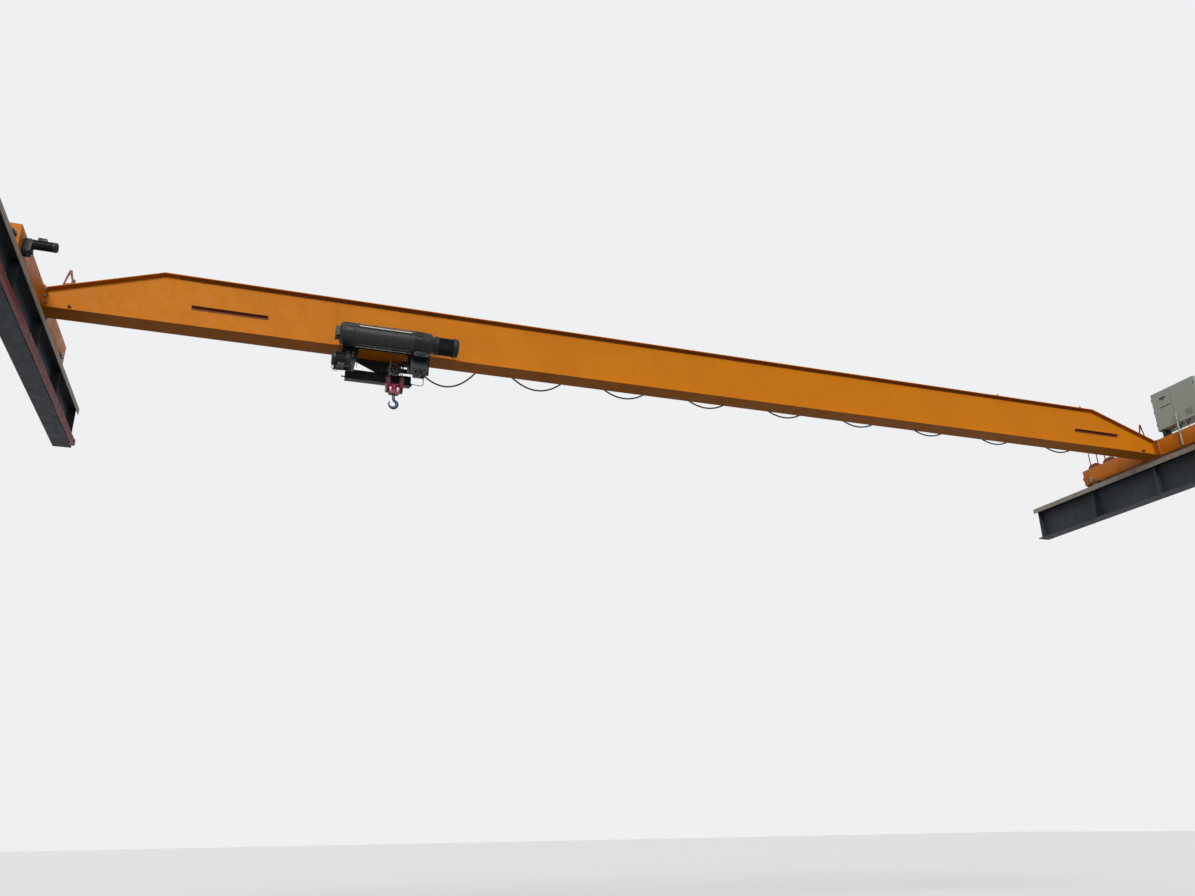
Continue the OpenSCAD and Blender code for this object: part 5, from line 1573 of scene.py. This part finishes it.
def carrier_shapes(x, z):
    """A cable's saddle and strap, under a track at height z."""
    saddle = [(x - 0.035, z - 0.070), (x + 0.035, z - 0.070), (x + 0.035, z - 0.055), (x + 0.024, z - 0.041),
              (x - 0.024, z - 0.041), (x - 0.035, z - 0.055)]
    return [("plate", saddle, 1, TRACK_Y - 0.022, TRACK_Y + 0.022),
            ("ring", (x - 0.011, TRACK_Y, CLAMP_Z), (1, 0, 0), [(0, 0.0133), (0, 0.0168), (0.022, 0.0168),
                                                                (0.022, 0.0133)], 20)]


class CRANE_OT_carriers(bpy.types.Operator):
    """Make the cable carriers with their rollers, and the clamp at the track's end"""
    bl_idname = "crane.carriers"
    bl_label = "Cable carriers"

    def execute(self, context):
        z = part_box("festoon_track")[0].z
        for k in range(1, LOOPS):
            x, name = carrier_x(k), f"cable_carrier_{k}"
            hanger = [(x - 0.030, z - 0.042), (x + 0.030, z - 0.042), (x + 0.030, z + 0.012),
                      (x + 0.022, z + 0.020), (x - 0.022, z + 0.020), (x - 0.030, z + 0.012)]
            shapes = carrier_shapes(x, z) + [("plate", hanger, 1, TRACK_Y - 0.003, TRACK_Y + 0.003)]
            for side in (-0.02, 0.02):
                shapes.append(("turned", (x + side, TRACK_Y - 0.012, z + 0.0153), (0, 1, 0),
                               [(0, 0.006), (0, 0.010), (0.001, 0.011), (0.023, 0.011), (0.024, 0.010),
                                (0.024, 0.0)], 20))
            made(f"carrier_{k}", name, "carrier_steel", shapes, stands_for=[name])
        shapes = carrier_shapes(LAST_X, z) + [("box", (LAST_X - 0.02, TRACK_Y - 0.008, z - 0.042),
                                               (LAST_X + 0.02, TRACK_Y + 0.008, z + 0.001))]
        made("track_end_clamp", "bridge", "carrier_steel", shapes)
        return {"FINISHED"}


OPERATORS = (
    CRANE_OT_finishes, CRANE_OT_stage, CRANE_OT_festoon, CRANE_OT_ropes, CRANE_OT_runway, CRANE_OT_girder,
    CRANE_OT_carriages, CRANE_OT_cabinet, CRANE_OT_travel_drives, CRANE_OT_drum_housing, CRANE_OT_gear_case,
    CRANE_OT_hoist_motor, CRANE_OT_trolley_frame, CRANE_OT_trolley_drive, CRANE_OT_panel_box,
    CRANE_OT_hook_block, CRANE_OT_hook, CRANE_OT_carriers)


class CRANE_PT_panel(bpy.types.Panel):
    """The crane's sizes, colours and pieces"""
    bl_idname = "CRANE_PT_panel"
    bl_label = "Bridge crane"
    bl_space_type = "VIEW_3D"
    bl_region_type = "UI"
    bl_category = "Crane"

    def draw(self, context):
        layout = self.layout
        for group in (context.scene.crane_colours, context.scene.crane_sizes):
            for key in group.__annotations__:
                layout.prop(group, key)
        for operator in OPERATORS:
            layout.operator(operator.bl_idname)


CLASSES = (CraneColours, CraneSizes, *OPERATORS, CRANE_PT_panel)


def register():
    """Registers the classes and gives the scene its sizes and colours."""
    for one in CLASSES:
        bpy.utils.register_class(one)
    bpy.types.Scene.crane_colours = PointerProperty(type=CraneColours)
    bpy.types.Scene.crane_sizes = PointerProperty(type=CraneSizes)


def unregister():
    """Takes back what register did."""
    del bpy.types.Scene.crane_sizes
    del bpy.types.Scene.crane_colours
    for one in reversed(CLASSES):
        bpy.utils.unregister_class(one)


def main():
    """Makes every piece in order."""
    register()
    for operator in OPERATORS:
        group, name = operator.bl_idname.split(".")
        getattr(getattr(bpy.ops, group), name)()
    bpy.context.view_layer.update()


if __name__ == "__main__":
    main()
